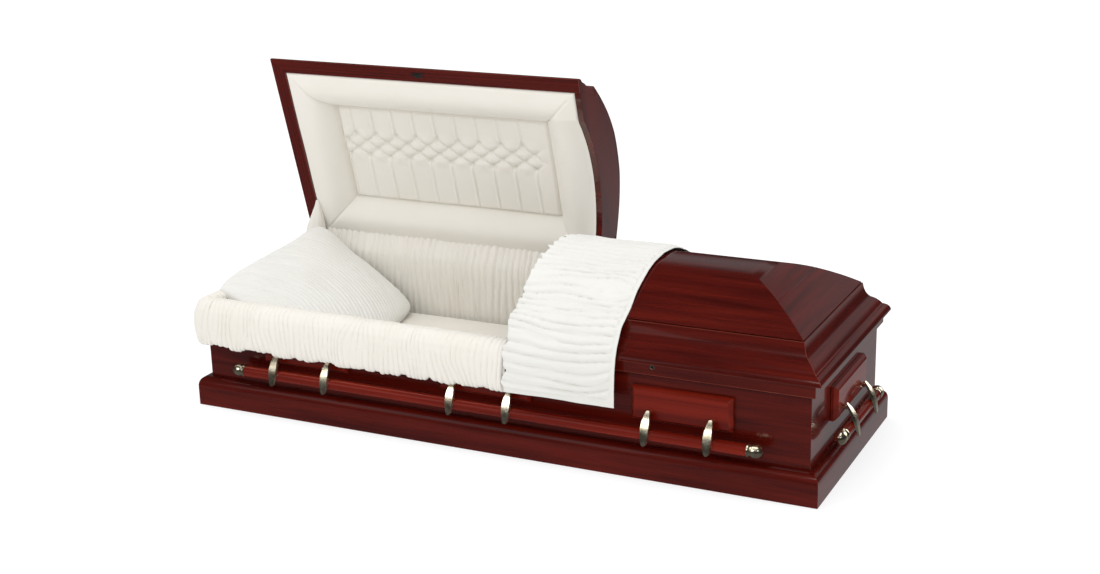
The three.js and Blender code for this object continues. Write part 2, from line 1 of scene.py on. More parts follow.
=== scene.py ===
# %% [markdown]
# # A wooden funeral casket
# The casket is a moulded base, a board-sided body and a domed lid in two halves, all in dark lacquered
# cherry. The head half stands open on an ivory cloth interior. The solid frame comes from the CAD model,
# and every piece below is worked out in the same place, in millimetres, and laid into its mesh in metres.

# %% The fixed frame
import json

import bpy
import numpy as np
from mathutils import Matrix

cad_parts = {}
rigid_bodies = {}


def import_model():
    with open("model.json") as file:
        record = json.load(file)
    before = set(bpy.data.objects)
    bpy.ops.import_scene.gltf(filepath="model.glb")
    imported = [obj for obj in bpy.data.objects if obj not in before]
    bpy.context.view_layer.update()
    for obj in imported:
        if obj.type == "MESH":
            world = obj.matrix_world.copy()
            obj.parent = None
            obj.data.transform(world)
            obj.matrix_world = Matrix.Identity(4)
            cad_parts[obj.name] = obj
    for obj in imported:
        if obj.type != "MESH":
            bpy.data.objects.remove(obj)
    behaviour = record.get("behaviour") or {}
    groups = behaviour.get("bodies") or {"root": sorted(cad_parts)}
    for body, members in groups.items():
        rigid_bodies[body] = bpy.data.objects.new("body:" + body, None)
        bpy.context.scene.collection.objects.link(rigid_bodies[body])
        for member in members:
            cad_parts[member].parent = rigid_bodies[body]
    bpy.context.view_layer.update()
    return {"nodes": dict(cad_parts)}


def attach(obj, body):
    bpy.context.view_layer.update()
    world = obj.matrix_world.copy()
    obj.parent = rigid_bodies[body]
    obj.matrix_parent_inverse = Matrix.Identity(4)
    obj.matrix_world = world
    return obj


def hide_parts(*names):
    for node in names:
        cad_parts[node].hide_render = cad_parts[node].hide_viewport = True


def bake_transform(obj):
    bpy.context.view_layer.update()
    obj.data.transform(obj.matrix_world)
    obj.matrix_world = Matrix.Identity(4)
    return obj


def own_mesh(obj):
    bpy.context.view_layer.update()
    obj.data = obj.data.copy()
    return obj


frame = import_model()

# %% [markdown]
# ## Sizes
# The pieces share a few sizes with the CAD model. Each is named once here, so that a moulding, its cloth
# and its handle all start from the same boards.

# %% Shared sizes, in millimetres
HALF_LENGTH, HALF_WIDTH, BOARD = 1021.0, 338.0, 20.0  # the boards' outer faces and their thickness
MOULDING_FOOT, BODY_TOP = 318.0, 356.0  # lower and upper edge of the top moulding
LID_Z, LID_END, LID_SIDE = 358.0, 1055.0, 367.5  # the shut lid's underside and its outer edges
CUT_HEAD, CUT_FOOT = 93.5, 94.5  # x of each lid half's cut end
HINGE_Y, HINGE_Z = 361.6, 354.7
OPEN = np.radians(74.1)
PLAQUE_Z, BAR_Z, PIVOT_Z = 178.0, 149.0, 206.5
BODY_PLAN = [(-HALF_LENGTH, -HALF_WIDTH), (HALF_LENGTH, -HALF_WIDTH),
             (HALF_LENGTH, HALF_WIDTH), (-HALF_LENGTH, HALF_WIDTH)]
print("body", 2 * HALF_LENGTH, "by", 2 * HALF_WIDTH, "by", BODY_TOP, "mm")

# %% [markdown]
# ## Laying a surface
# A piece is a grid of points. The grid gives its own faces, and each face corner gets a place on the
# piece's UV map in metres, so that wood grain and weave keep their real scale. A closed piece is turned so
# that its faces point out, by the sign of its volume.

# %% Grids and meshes
def grid_faces(rows, cols, round_rows=False, round_cols=False):
    """Quads between neighbouring rows and columns; a rounded direction joins its last line to its first."""
    i = np.arange(rows if round_rows else rows - 1)[:, None]
    j = np.arange(cols if round_cols else cols - 1)[None, :]
    i2, j2 = (i + 1) % rows, (j + 1) % cols
    quads = np.stack([i * cols + j, i * cols + j2, i2 * cols + j2, i2 * cols + j], axis=-1)
    return quads.reshape(-1, 4)


def signed_volume(points, faces):
    """Sum over triangles of a fan of a . (b x c) / 6, which is negative when the faces point in."""
    total = 0.0
    for face in (f for f in faces if len(f) > 4):
        a, b, c = points[face[0]], points[face[1:-1]], points[face[2:]]
        total += np.einsum("i,ni->", a, np.cross(b, c))
    quads = np.array([f for f in faces if len(f) == 4])
    if len(quads):
        a, b, c, d = (points[quads[:, k]] for k in range(4))
        total += np.einsum("ni,ni->", a, np.cross(b, c)) + np.einsum("ni,ni->", a, np.cross(c, d))
    return total / 6


def put(name, data):
    """A new object for some data, linked into the scene."""
    thing = bpy.data.objects.new(name, data)
    bpy.context.scene.collection.objects.link(thing)
    return thing


def lay(name, points, faces, uv=None, closed=True, flip=False, crease=35):
    """Puts points (mm) and faces into a mesh in metres; uv is one (u, v) in metres for each face corner."""
    points = np.asarray(points, float).reshape(-1, 3)
    faces = [np.asarray(f, int) for f in faces]
    turn = signed_volume(points, faces) < 0 if closed else flip
    if uv is None:
        uv = points[np.concatenate(faces)][:, :2] / 1000
    uv = np.asarray(uv, float).reshape(-1, 2)
    if turn:
        starts = np.cumsum([0] + [len(f) for f in faces])
        uv = np.concatenate([uv[a:b][::-1] for a, b in zip(starts[:-1], starts[1:])])
        faces = [f[::-1] for f in faces]
    mesh = bpy.data.meshes.new(name)
    mesh.from_pydata((points / 1000).tolist(), [], [f.tolist() for f in faces])
    layer = mesh.uv_layers.new(name="UVMap")
    layer.data.foreach_set("uv", uv.astype(np.float32).ravel())
    mesh.shade_smooth()
    mesh.set_sharp_from_angle(angle=np.radians(crease))
    mesh.validate()
    return put(name, mesh)


print("grid of 3 x 4 points:", len(grid_faces(3, 4)), "quads")


# %% Laying a grid, and what goes with a piece
def lay_grid(name, grid, uv=None, round_rows=False, round_cols=False, capped=False, **how):
    """Lays a (rows, columns, 3) grid; uv is a matching grid of places, and caps close its two end rows."""
    rows, cols = grid.shape[:2]
    faces = grid_faces(rows, cols, round_rows, round_cols)
    uv = grid[..., :2] / 1000 if uv is None else uv
    corner_uv = np.asarray(uv, float).reshape(-1, 2)[faces.ravel()]
    faces = list(faces)
    if capped:
        ends = [np.arange(cols)[::-1], np.arange(cols) + (rows - 1) * cols]
        faces += ends
        flat = grid.reshape(-1, 3)
        corner_uv = np.concatenate([corner_uv] + [flat[e][:, 1:] / 1000 for e in ends])
    return lay(name, grid, faces, corner_uv, **how)


def place(piece, body, slot, material, *nodes):
    """Gives a piece its finish, the one body that it moves with, if any, and the CAD nodes it stands for."""
    piece.data.materials.clear()
    piece.data.materials.append(material)
    # A bevel with the painted highlight takes the lighter arris wood as its second material: a painted
    # highlight along the edge.
    if any(m.type == "BEVEL" and m.material == 1 for m in piece.modifiers):
        piece.data.materials.append(arris_highlight_wood)
    if body:
        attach(piece, body)
    if nodes:
        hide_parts(*nodes)
    return piece


def ease(piece, width, segments=2, angle=30, painted_highlight=False):
    """Rounds the arrises that are sharper than an angle, as sanding does; with painted_highlight the bevel
    takes a lighter wood, a painted highlight along the arris.
    """
    bevel = piece.modifiers.new("ease", "BEVEL")
    bevel.width = width / 1000
    bevel.segments = segments
    bevel.limit_method = "ANGLE"
    bevel.angle_limit = np.radians(angle)
    bevel.harden_normals = True
    if painted_highlight:
        bevel.material = 1
    return piece


# %% [markdown]
# ## Soft random folds
# Cloth folds and wood grain need random curves that repeat on every run. A lattice of seeded random values,
# blended with a smooth step, gives a value at any place. Stretching the lattice one way gives folds.

# %% Noise and folds
def smooth_noise(u, v, seed):
    """Random values on the whole numbers of (u, v), blended between them by 3t^2 - 2t^3, in 0...1."""
    table = np.random.default_rng(seed).random((257, 257))
    iu, iv = np.floor(u).astype(int), np.floor(v).astype(int)
    fu, fv = u - iu, v - iv
    fu, fv = fu * fu * (3 - 2 * fu), fv * fv * (3 - 2 * fv)
    a, b = table[iu % 257, iv % 257], table[(iu + 1) % 257, iv % 257]
    c, d = table[iu % 257, (iv + 1) % 257], table[(iu + 1) % 257, (iv + 1) % 257]
    return (a * (1 - fu) + b * fu) * (1 - fv) + (c * (1 - fu) + d * fu) * fv


def folds(across, along, period, seed, length=9.0, drift=0.7):
    """Gathered folds that run along: rounded crests |sin| between narrow valleys, that wander and fade."""
    wander = smooth_noise(across / (2.6 * period), along / (length * period), seed) - 0.5
    phase = across / period + 1.5 * drift * wander
    crest = np.abs(np.sin(np.pi * phase)) ** 0.8
    strength = 0.35 + 0.65 * smooth_noise(phase * 0.8, along / (0.45 * length * period), seed + 1)
    second = 1.9 * phase + 1.2 * smooth_noise(phase, along / (2.5 * period), seed + 2)
    small = np.abs(np.sin(np.pi * second))
    return 0.74 * crest * strength + 0.26 * small * (1.2 - strength)


def smooth_step(value, low, high):
    """0 below low, 1 above high, and 3t^2 - 2t^3 between them."""
    t = np.clip((value - low) / (high - low), 0, 1)
    return t * t * (3 - 2 * t)


print("a smooth step half way:", float(smooth_step(0.5, 0, 1)))

# %% [markdown]
# ## Finishes
# The wood is stained a dark cherry under a thick gloss lacquer: a deep red with a faint streaky grain along
# each board, and clear reflections. A Principled shader with a coat gives both. The grain is noise stretched
# along the piece's own UV map, so that mitred mouldings keep their grain along their length. The handle wood
# is redder, and the eased arrises carry a lighter wood: a painted highlight along each arris.

# %% Shader nodes
def feed(tree, socket, value):
    """Sets a socket to a value, or links it to another node's output."""
    if isinstance(value, bpy.types.NodeSocket):
        tree.links.new(value, socket)
    else:
        socket.default_value = value


def add(tree, kind, **values):
    """Adds a node and feeds its inputs by name, or sets its own settings where no input has that name."""
    node = tree.nodes.new(kind)
    for key, value in values.items():
        if key in node.inputs:
            feed(tree, node.inputs[key], value)
        else:
            setattr(node, key, value)
    return node


def ramp(tree, source, stops):
    """The colour of a ramp over (place, colour) stops, read from a node's output."""
    node = add(tree, "ShaderNodeValToRGB", Fac=source)
    while len(node.color_ramp.elements) < len(stops):
        node.color_ramp.elements.new(0.5)
    for element, (at, colour) in zip(node.color_ramp.elements, stops):
        element.position = at
        element.color = (*colour, 1)
    return node.outputs["Color"]


def shader(name):
    """A new material and its node tree."""
    material = bpy.data.materials.new(name)
    material.use_nodes = True
    return material, material.node_tree


def finish_as(tree, values):
    """Feeds the Principled node's inputs by name."""
    for key, value in values.items():
        feed(tree, tree.nodes["Principled BSDF"].inputs[key], value)


print("materials before the first finish:", len(bpy.data.materials))


# %% Wood
def lacquered(name, dark, light, seed):
    """Stain between two colours by stretched noise, finer pores over it, and a gloss coat."""
    material, tree = shader(name)
    flat = add(tree, "ShaderNodeTexCoord").outputs["UV"]
    grain_map = add(tree, "ShaderNodeMapping", Vector=flat, Scale=(1.6, 30, 1),
                    Location=(seed, seed * 0.7, 0))
    pore_map = add(tree, "ShaderNodeMapping", Vector=flat, Scale=(9, 420, 1))
    grain = add(tree, "ShaderNodeTexNoise", Vector=grain_map.outputs["Vector"],
                Scale=1.0, Detail=5.0, Roughness=0.62, Distortion=0.35)
    pores = add(tree, "ShaderNodeTexNoise", Vector=pore_map.outputs["Vector"], Scale=1.0, Detail=2.0)
    both = add(tree, "ShaderNodeMath", operation="MULTIPLY_ADD")
    pore_share = 0.22
    for socket, value in zip(both.inputs, (pores.outputs["Fac"], pore_share, grain.outputs["Fac"])):
        feed(tree, socket, value)
    middle = tuple(0.5 * (a + b) for a, b in zip(dark, light))
    colour = ramp(tree, both.outputs[0], [(0.42, dark), (0.62, middle), (0.82, light)])
    finish_as(tree, {"Base Color": colour, "Roughness": 0.22, "Specular IOR Level": 0.35,
                     "Coat Weight": 0.85, "Coat Roughness": 0.035})
    return material


dark_wood = lacquered("dark_cherry_lacquer", (0.042, 0.0016, 0.0007), (0.112, 0.0062, 0.0021), 3.0)
bright_wood = lacquered("red_cherry_lacquer", (0.088, 0.0034, 0.0008), (0.205, 0.0115, 0.0022), 8.0)
# A lighter wood for eased arrises: a painted highlight along each arris, not wear.
arris_highlight_wood = lacquered("painted_arris_highlight", (0.09, 0.014, 0.008), (0.19, 0.040, 0.025), 5.0)
print("wood finishes:", dark_wood.name, bright_wood.name, arris_highlight_wood.name)

# %% [markdown]
# ## Metal and cloth
# The fittings are plated and rubbed bright, so the metal is a warm pale grey with a little uneven roughness.
# The cloth is crepe: matt ivory with a fine crinkle and a soft sheen. Its weave reads the piece's UV map.
# The throw and the pillow are of a whiter cloth. The hinge leaves and the bottom board need no new mesh.

# %% Metal and cloth
def antique_metal(name):
    """Warm plated metal whose colour and roughness vary with a soft noise in object space."""
    material, tree = shader(name)
    solid = add(tree, "ShaderNodeTexCoord").outputs["Object"]
    patches = add(tree, "ShaderNodeTexNoise", Vector=solid, Scale=60.0, Detail=3.0).outputs["Fac"]
    rough = add(tree, "ShaderNodeMapRange", Value=patches, **{"To Min": 0.16, "To Max": 0.32})
    colour = ramp(tree, patches, [(0.35, (0.70, 0.61, 0.43)), (0.65, (0.93, 0.85, 0.67))])
    finish_as(tree, {"Base Color": colour, "Roughness": rough.outputs["Result"], "Metallic": 1.0})
    return material


def crepe(name, dark, light):
    """Woven cloth: a fine crinkle in the bump, and a faint mottle in the colour."""
    material, tree = shader(name)
    where = add(tree, "ShaderNodeTexCoord").outputs
    mottle = add(tree, "ShaderNodeTexNoise", Vector=where["Object"], Scale=6.0, Detail=2.0)
    weave = add(tree, "ShaderNodeTexNoise", Vector=where["UV"], Scale=900.0, Detail=2.0, Roughness=0.6)
    bump = add(tree, "ShaderNodeBump", Height=weave.outputs["Fac"], Strength=0.25, Distance=0.0006)
    colour = ramp(tree, mottle.outputs["Fac"], [(0.3, dark), (0.7, light)])
    finish_as(tree, {"Base Color": colour, "Normal": bump.outputs["Normal"], "Roughness": 0.8,
                     "Specular IOR Level": 0.25, "Sheen Weight": 0.25, "Sheen Roughness": 0.5})
    return material


metal = antique_metal("antique_metal")
ivory = crepe("ivory_crepe", (0.775, 0.745, 0.672), (0.80, 0.77, 0.705))
throw_cloth = crepe("white_crepe", (0.735, 0.73, 0.685), (0.76, 0.755, 0.715))
# Near-black painted shadow for the keyhole and the catch plate: shade drawn as colour.
painted_shadow, black_tree = shader("lock_shadow")
finish_as(black_tree, {"Base Color": (0.01, 0.008, 0.007, 1), "Roughness": 0.6})
for node_name, node in frame["nodes"].items():
    is_leaf = "hinge" in node_name and "leaf" in node_name
    if is_leaf or node_name == "bottom_board":
        node.data.materials.clear()
        node.data.materials.append(metal if is_leaf else dark_wood)
print("cloth finishes:", ivory.name, throw_cloth.name)

# %% [markdown]
# ## Carrying a profile round the casket
# Mouldings are cut to one profile and mitred at the corners. The same is done here: the profile is given as
# (outward, height) points, and each plan corner gets a copy of it, stretched along the mitre.

# %% Mitred profiles
def bend(start, towards, end, steps):
    """Points of a quadratic bend: (1-t)^2 start + 2t(1-t) towards + t^2 end."""
    t = np.linspace(0, 1, steps)[:, None]
    start, towards, end = (np.array(p, float) for p in (start, towards, end))
    return (1 - t) ** 2 * start + 2 * t * (1 - t) * towards + t**2 * end


def unit(ways):
    """Directions of length one."""
    return ways / np.linalg.norm(ways, axis=-1, keepdims=True)


def right_of(ways):
    """Plane directions turned a quarter to the right."""
    return np.stack([ways[:, 1], -ways[:, 0]], axis=1)


def mitred(path, profile, ring=False):
    """A (corners, profile points, 3) grid: at each corner the outward offset runs along the mitre."""
    path, profile = np.array(path, float), np.array(profile, float)
    right = right_of(unit(np.roll(path, -1, axis=0) - path))
    before = np.roll(right, 1, axis=0)
    if not ring:
        before[0], right[-1] = right[0], before[-1]
    mitre = (before + right) / (1 + np.sum(before * right, axis=1, keepdims=True))
    plan = path[:, None, :] + profile[None, :, :1] * mitre[:, None, :]
    height = np.broadcast_to(profile[None, :, 1:], plan.shape[:2] + (1,))
    return np.concatenate([plan, height], axis=2)


print("a bend of 3 points:", bend((0, 0), (1, 0), (1, 1), 3).tolist())

# %% The mouldings and the boards
def section_normals(line):
    """Unit normals of a section, to the right of its run: outward where the section climbs."""
    return right_of(unit(np.gradient(line, axis=0)))


def run_length(points):
    """The length along a line at each of its points."""
    return np.concatenate([[0], np.cumsum(np.linalg.norm(np.diff(points, axis=0), axis=1))])


def moulding(name, path, profile, ring=False):
    """Lays a mitred profile with its grain along each length; v runs round the profile."""
    profile = np.array(profile, float)
    grid = mitred(path, profile, ring)
    rows, cols = grid.shape[:2]
    faces = grid_faces(rows, cols, ring, True)
    run = unit(np.roll(np.array(path, float), -1, axis=0) - np.array(path, float))
    girth = run_length(profile)
    part, column = faces[:, 0] // cols, faces[:, 0] % cols
    along = np.einsum("fkc,fc->fk", grid.reshape(-1, 3)[faces][..., :2], run[part]) + 700 * part[:, None]
    up = np.stack([girth[column], girth[(column + 1) % cols]], axis=1)[:, [0, 1, 1, 0]]
    uv = np.stack([along, up], axis=-1).reshape(-1, 2) / 1000
    faces = list(faces)
    if not ring:
        for end in (np.arange(cols)[::-1], np.arange(cols) + (rows - 1) * cols):
            faces.append(end)
            uv = np.concatenate([uv, grid.reshape(-1, 3)[end][:, 1:] / 1000])
    return lay(name, grid, faces, uv)


shoulder = bend((34, 62), (34, 97), (0, 97), 15)
base = moulding("base_moulding_wood", BODY_PLAN, [(-0.3, 0), (34, 0), *shoulder, (-0.3, 97)], ring=True)
place(ease(base, 2.4, painted_highlight=True), "casket", "dark_wood", dark_wood, "base_moulding")
case_foot, case_top = 18.4, MOULDING_FOOT - 0.3
case_profile = [(-BOARD, case_foot), (0, case_foot), (0, case_top), (-BOARD, case_top)]
case = ease(moulding("case_wood", BODY_PLAN, case_profile, ring=True), 2.0)
place(case, "casket", "dark_wood", dark_wood, "board_front", "board_back", "board_head", "board_foot")
top_profile = [(-BOARD, MOULDING_FOOT), (12, MOULDING_FOOT), (15, MOULDING_FOOT + 3),
               (15, BODY_TOP - 3), (12, BODY_TOP), (-BOARD, BODY_TOP)]
top = moulding("top_moulding_wood", BODY_PLAN, top_profile, ring=True)
place(ease(top, 1.2, painted_highlight=True), "casket", "dark_wood", dark_wood, "top_moulding")
print("base moulding:", len(base.data.polygons), "faces before its arrises are eased")

# %% [markdown]
# ## The lid halves
# Each half is a rim moulding mitred round three sides, and a domed crown that ends in a hip. Both are made
# shut, where their sections are plain, and the open half is then turned about the hinge line.

# %% The lid's profiles, as (inset, height above the lid's underside)
rim_face = np.concatenate([
    [[0, 0]],
    bend((0, 5), (4, 20), (21, 26), 9),
    bend((21, 26), (35, 46), (51, 54), 9)[1:],
    bend((51, 54), (68, 68), (72, 102), 11)[1:],
])
rim_back = np.array([[104, 102], [76, 56], [49, 27], [49, 0]])
crown_face = np.concatenate([
    bend((76, 105), (130, 143), (190, 172), 15),
    bend((190, 172), (240, 195), (293, 207), 11)[1:],
    bend((293, 207), (327, 212), (361.5, 212), 7)[1:],
])
print("crown profile:", len(crown_face), "points, rising", crown_face[-1, 1], "mm")


# %% The open lid, and the rims
def on_lid(points, open_lid):
    """Points of the shut lid, turned about the hinge line by the opening angle where the lid stands open."""
    points = np.array(points, float)
    if not open_lid:
        return points
    y, z = points[..., 1] - HINGE_Y, points[..., 2] - HINGE_Z
    turned = points.copy()
    turned[..., 1] = HINGE_Y + y * np.cos(OPEN) + z * np.sin(OPEN)
    turned[..., 2] = HINGE_Z - y * np.sin(OPEN) + z * np.cos(OPEN)
    return turned


def turn_piece(piece, open_lid):
    """Turns a finished mesh with its lid, in place."""
    if open_lid:
        flat = np.zeros(len(piece.data.vertices) * 3)
        piece.data.vertices.foreach_get("co", flat)
        piece.data.vertices.foreach_set("co", (on_lid(flat.reshape(-1, 3) * 1000, True) / 1000).ravel())
        piece.data.update()
    return piece


def rim_piece(name, hip, cut, open_lid):
    """The rim: its face and back as one profile, mitred along the front, the hip end and the back."""
    out = np.sign(hip - cut)
    path = [(cut, -out * LID_SIDE), (hip, -out * LID_SIDE), (hip, out * LID_SIDE), (cut, out * LID_SIDE)]
    profile = np.concatenate([rim_face, rim_back]) * [-1, 1] + [0, LID_Z]
    return turn_piece(ease(moulding(name, path, profile), 1.6, angle=32, painted_highlight=True), open_lid)


print("rim profile:", len(rim_face) + len(rim_back), "points")


# %% [markdown]
# ### The crowns
# A crown built from level rectangles keeps the hip's creases straight: at each height the four sides step
# in by the same amount. Its cut end is closed by a header board with a low arch over the body.

# %% Crowns
def crown_levels(face, hip, cut):
    """Level rectangles of the roof: y steps in by the inset on both sides, and x by the inset at the hip."""
    out = np.sign(hip - cut)
    inset, rise = face[:, 0], face[:, 1] + LID_Z
    side = LID_SIDE - inset
    hip_x = hip - out * inset
    cut_x = np.full_like(inset, cut)
    corners = [(cut_x, -side), (hip_x, -side), (hip_x, side), (cut_x, side)]
    if out < 0:
        corners = corners[::-1]
    return np.stack([np.stack([x, y, rise], axis=-1) for x, y in corners], axis=1)


def crown_piece(name, hip, cut, open_lid):
    """The domed shell: outer levels down to the foot, then inner levels up, 18 mm within, as one closed ring.

    The outer face has a shallow reed half way up, where its two boards join.
    """
    out = np.sign(hip - cut)
    inner = crown_face + 18 * section_normals(crown_face)
    inner[:, 0] = np.minimum(inner[:, 0], crown_face[-1, 0])
    reeded = np.concatenate([crown_face[:14], [[187, 170.56], [190, 171.3], [193, 173.4]], crown_face[15:]])
    levels = np.concatenate([
        crown_levels(reeded[::-1], hip, cut + out * 1.2),
        crown_levels(inner, hip, cut + out * 19),
    ])
    rows = len(levels)
    faces = grid_faces(rows, 4, round_cols=True)
    flat = levels.reshape(-1, 3)
    corner = flat[faces]
    up = run_length(levels[:, 0])
    row, side = faces[:, 0] // 4, faces[:, 0] % 4
    high = np.stack([up[row], up[row + 1]], axis=1)[:, [0, 0, 1, 1]]
    along = np.where((side % 2 == 0)[:, None], corner[..., 0], corner[..., 1] + 3000)
    uv = np.stack([along, high], axis=-1).reshape(-1, 2) / 1000
    ridges = [np.array([3, 2, 1, 0]), np.arange(4) + 4 * (rows - 1)]
    uv = np.concatenate([uv] + [flat[ridge][:, :2] / 1000 for ridge in ridges])
    shell = lay(name, flat, list(faces) + ridges, uv, crease=30)
    return turn_piece(ease(shell, 1.6, angle=22, painted_highlight=True), open_lid)


print("crown levels:", crown_levels(crown_face, LID_END, CUT_FOOT).shape)


# %% Header boards, and both lid halves
ARCH_SPAN, ARCH_RISE = 222.0, 52.0
ARCH_RADIUS = (ARCH_SPAN**2 + ARCH_RISE**2) / (2 * ARCH_RISE)


def header_piece(name, cut, out, open_lid):
    """The header board: the crown's section less a circular arch, 20 mm thick, with eased arrises."""
    y = np.linspace(ARCH_SPAN, -ARCH_SPAN, 41)
    arch = np.stack([y, LID_Z + ARCH_RISE - ARCH_RADIUS + np.sqrt(ARCH_RADIUS**2 - y**2)], axis=1)
    half = np.concatenate([rim_back[::-1] + [0.6, 0], [[104.6, 104]], crown_face[1:] + [0.5, -0.6]])
    outline = np.stack([LID_SIDE - half[:, 0], LID_Z + half[:, 1]], axis=1)
    outline = outline[outline[:, 0] > 1]
    left = outline[::-1] * [-1, 1]
    ring = np.concatenate([arch[::-1], outline, left])
    x = [cut, cut + out * 20]
    grid = np.stack([np.column_stack([np.full(len(ring), v), ring]) for v in x])
    board = lay_grid(name, grid, grid[..., 1:] / 1000, round_cols=True, capped=True)
    return turn_piece(ease(board, 1.2, angle=40), open_lid)


for lid, hip, cut in (("head_lid", -LID_END, CUT_HEAD), ("foot_lid", LID_END, CUT_FOOT)):
    is_open = lid == "head_lid"
    place(rim_piece(lid + "_rim_wood", hip, cut, is_open), lid, "dark_wood", dark_wood, lid + "_rim")
    place(crown_piece(lid + "_crown_wood", hip, cut, is_open), lid, "dark_wood", dark_wood, lid + "_crown")
    place(header_piece(lid + "_header_wood", cut, np.sign(hip - cut), is_open), lid, "dark_wood", dark_wood)
print("header arch radius:", round(ARCH_RADIUS), "mm")

# %% [markdown]
# ## Handles
# A handle is a bevelled plaque, two arms and a long round bar that they carry, with a turned metal tip at
# each end. The bar, the tips and the pivot lugs are turned on a lathe, so each is a profile spun round X.

# %% Turned pieces
BAR_RADIUS = 18.3


def circle(sides):
    """Even angles once round."""
    return np.linspace(0, 2 * np.pi, sides, endpoint=False)


def turned(profile, sides=48):
    """A profile of (along X, radius) points spun round the X axis; both ends come down to the axis."""
    along, radius = np.array(profile, float).T
    angle = circle(sides)
    x = np.repeat(along[:, None], sides, 1)
    grid = np.stack([x, radius[:, None] * np.cos(angle), radius[:, None] * np.sin(angle)], axis=-1)
    girth = np.repeat(angle[None, :] * BAR_RADIUS / 1000, len(along), 0)
    return grid, np.stack([x / 1000, girth], axis=-1)


def move(grid, turn_deg):
    """Turns points about Z, for the four sides of the casket."""
    c, s = np.cos(np.radians(turn_deg)), np.sin(np.radians(turn_deg))
    moved = grid.copy()
    moved[..., 0], moved[..., 1] = c * grid[..., 0] - s * grid[..., 1], s * grid[..., 0] + c * grid[..., 1]
    return moved


print("a quarter turn of (1, 0, 0):", move(np.array([1.0, 0, 0]), 90).round(3))


# %% [markdown]
# ### The arm
# The arm is a slender leaf: narrow at its pivot, widest half way down, with a raised rim round a sunk oval
# over the bar. It is a grid along its length and across its width, closed by a plain back.

# %% The arm
def arm_grid():
    """The leaf: its middle line bends out and down past the bar, and its half width swells and shrinks."""
    line = bend((8, 215), (37, 180), (48, 121), 41)
    t = np.linspace(0, 1, len(line))
    half = 4.0 + 11.6 * np.sin(np.pi * (0.02 + 0.88 * t)) ** 0.9
    half = half * np.sqrt(np.clip(1 - np.clip((t - 0.93) / 0.075, 0, 1) ** 2, 0.12, 1))
    across = np.linspace(-1, 1, 17)
    normal = -section_normals(line)
    hollow = smooth_step(t, 0.40, 0.58) * (1 - smooth_step(t, 0.84, 0.95))  # 1 along the sunk oval
    edge = np.abs(across)[None, :]
    rim = 2.0 * (1 - smooth_step(edge, 0.8, 1.0))
    oval = 5.0 * (1 - smooth_step(edge, 0.45, 0.62))
    lift = 4.2 * (1 - edge**2) * (1 - hollow[:, None]) + hollow[:, None] * (rim - oval)
    front = np.zeros((len(line), len(across), 3))
    front[..., 0] = across[None, :] * half[:, None]
    front[..., 1] = -(line[:, 0, None] - normal[:, 0, None] * lift)
    front[..., 2] = line[:, 1, None] - normal[:, 1, None] * lift
    back = front[:, ::-1].copy()
    thick = (4.0 + 3.5 * np.sin(np.pi * t))[:, None]
    back[..., 1] = -(line[:, 0, None] + normal[:, 0, None] * thick)
    back[..., 2] = line[:, 1, None] + normal[:, 1, None] * thick
    back[..., 0] *= 0.8
    return np.concatenate([front, back], axis=1)


arms = arm_grid()
print("arms:", arms.shape[0], "by", arms.shape[1], "points each")

# %% Sizes of the handles
# Half length, half height and outward step of the plaque's levels; turn, board face and length of each bar.
plaque_steps = [(156, 53, 0.3), (156, 53, 10), (154.5, 51.5, 12.5), (146, 43, 21), (144, 41, 22)]
bar_sides = {"front": (0, HALF_WIDTH, 1700), "back": (180, HALF_WIDTH, 1700),
             "foot": (90, HALF_LENGTH, 336), "head": (-90, HALF_LENGTH, 336)}
PIVOT_OUT, BAR_OUT, ARM_OUT = 30, 44, 22  # from the board's face
PLAQUE_STEP, ARM_ASIDE = 640, 96  # along the casket
tip_profile = [(0, 0), (0, 19), (1.5, 20.5), (6, 20.5), (8, 18.5), (10, 16.5), (13, 16.2), (15, 17.5),
               (17, 19.6), (24, 20.4), (32, 19.8), (38, 17.5), (43, 14), (47, 9), (49.4, 4), (50, 0)]
print("bars stand", BAR_OUT, "mm out")

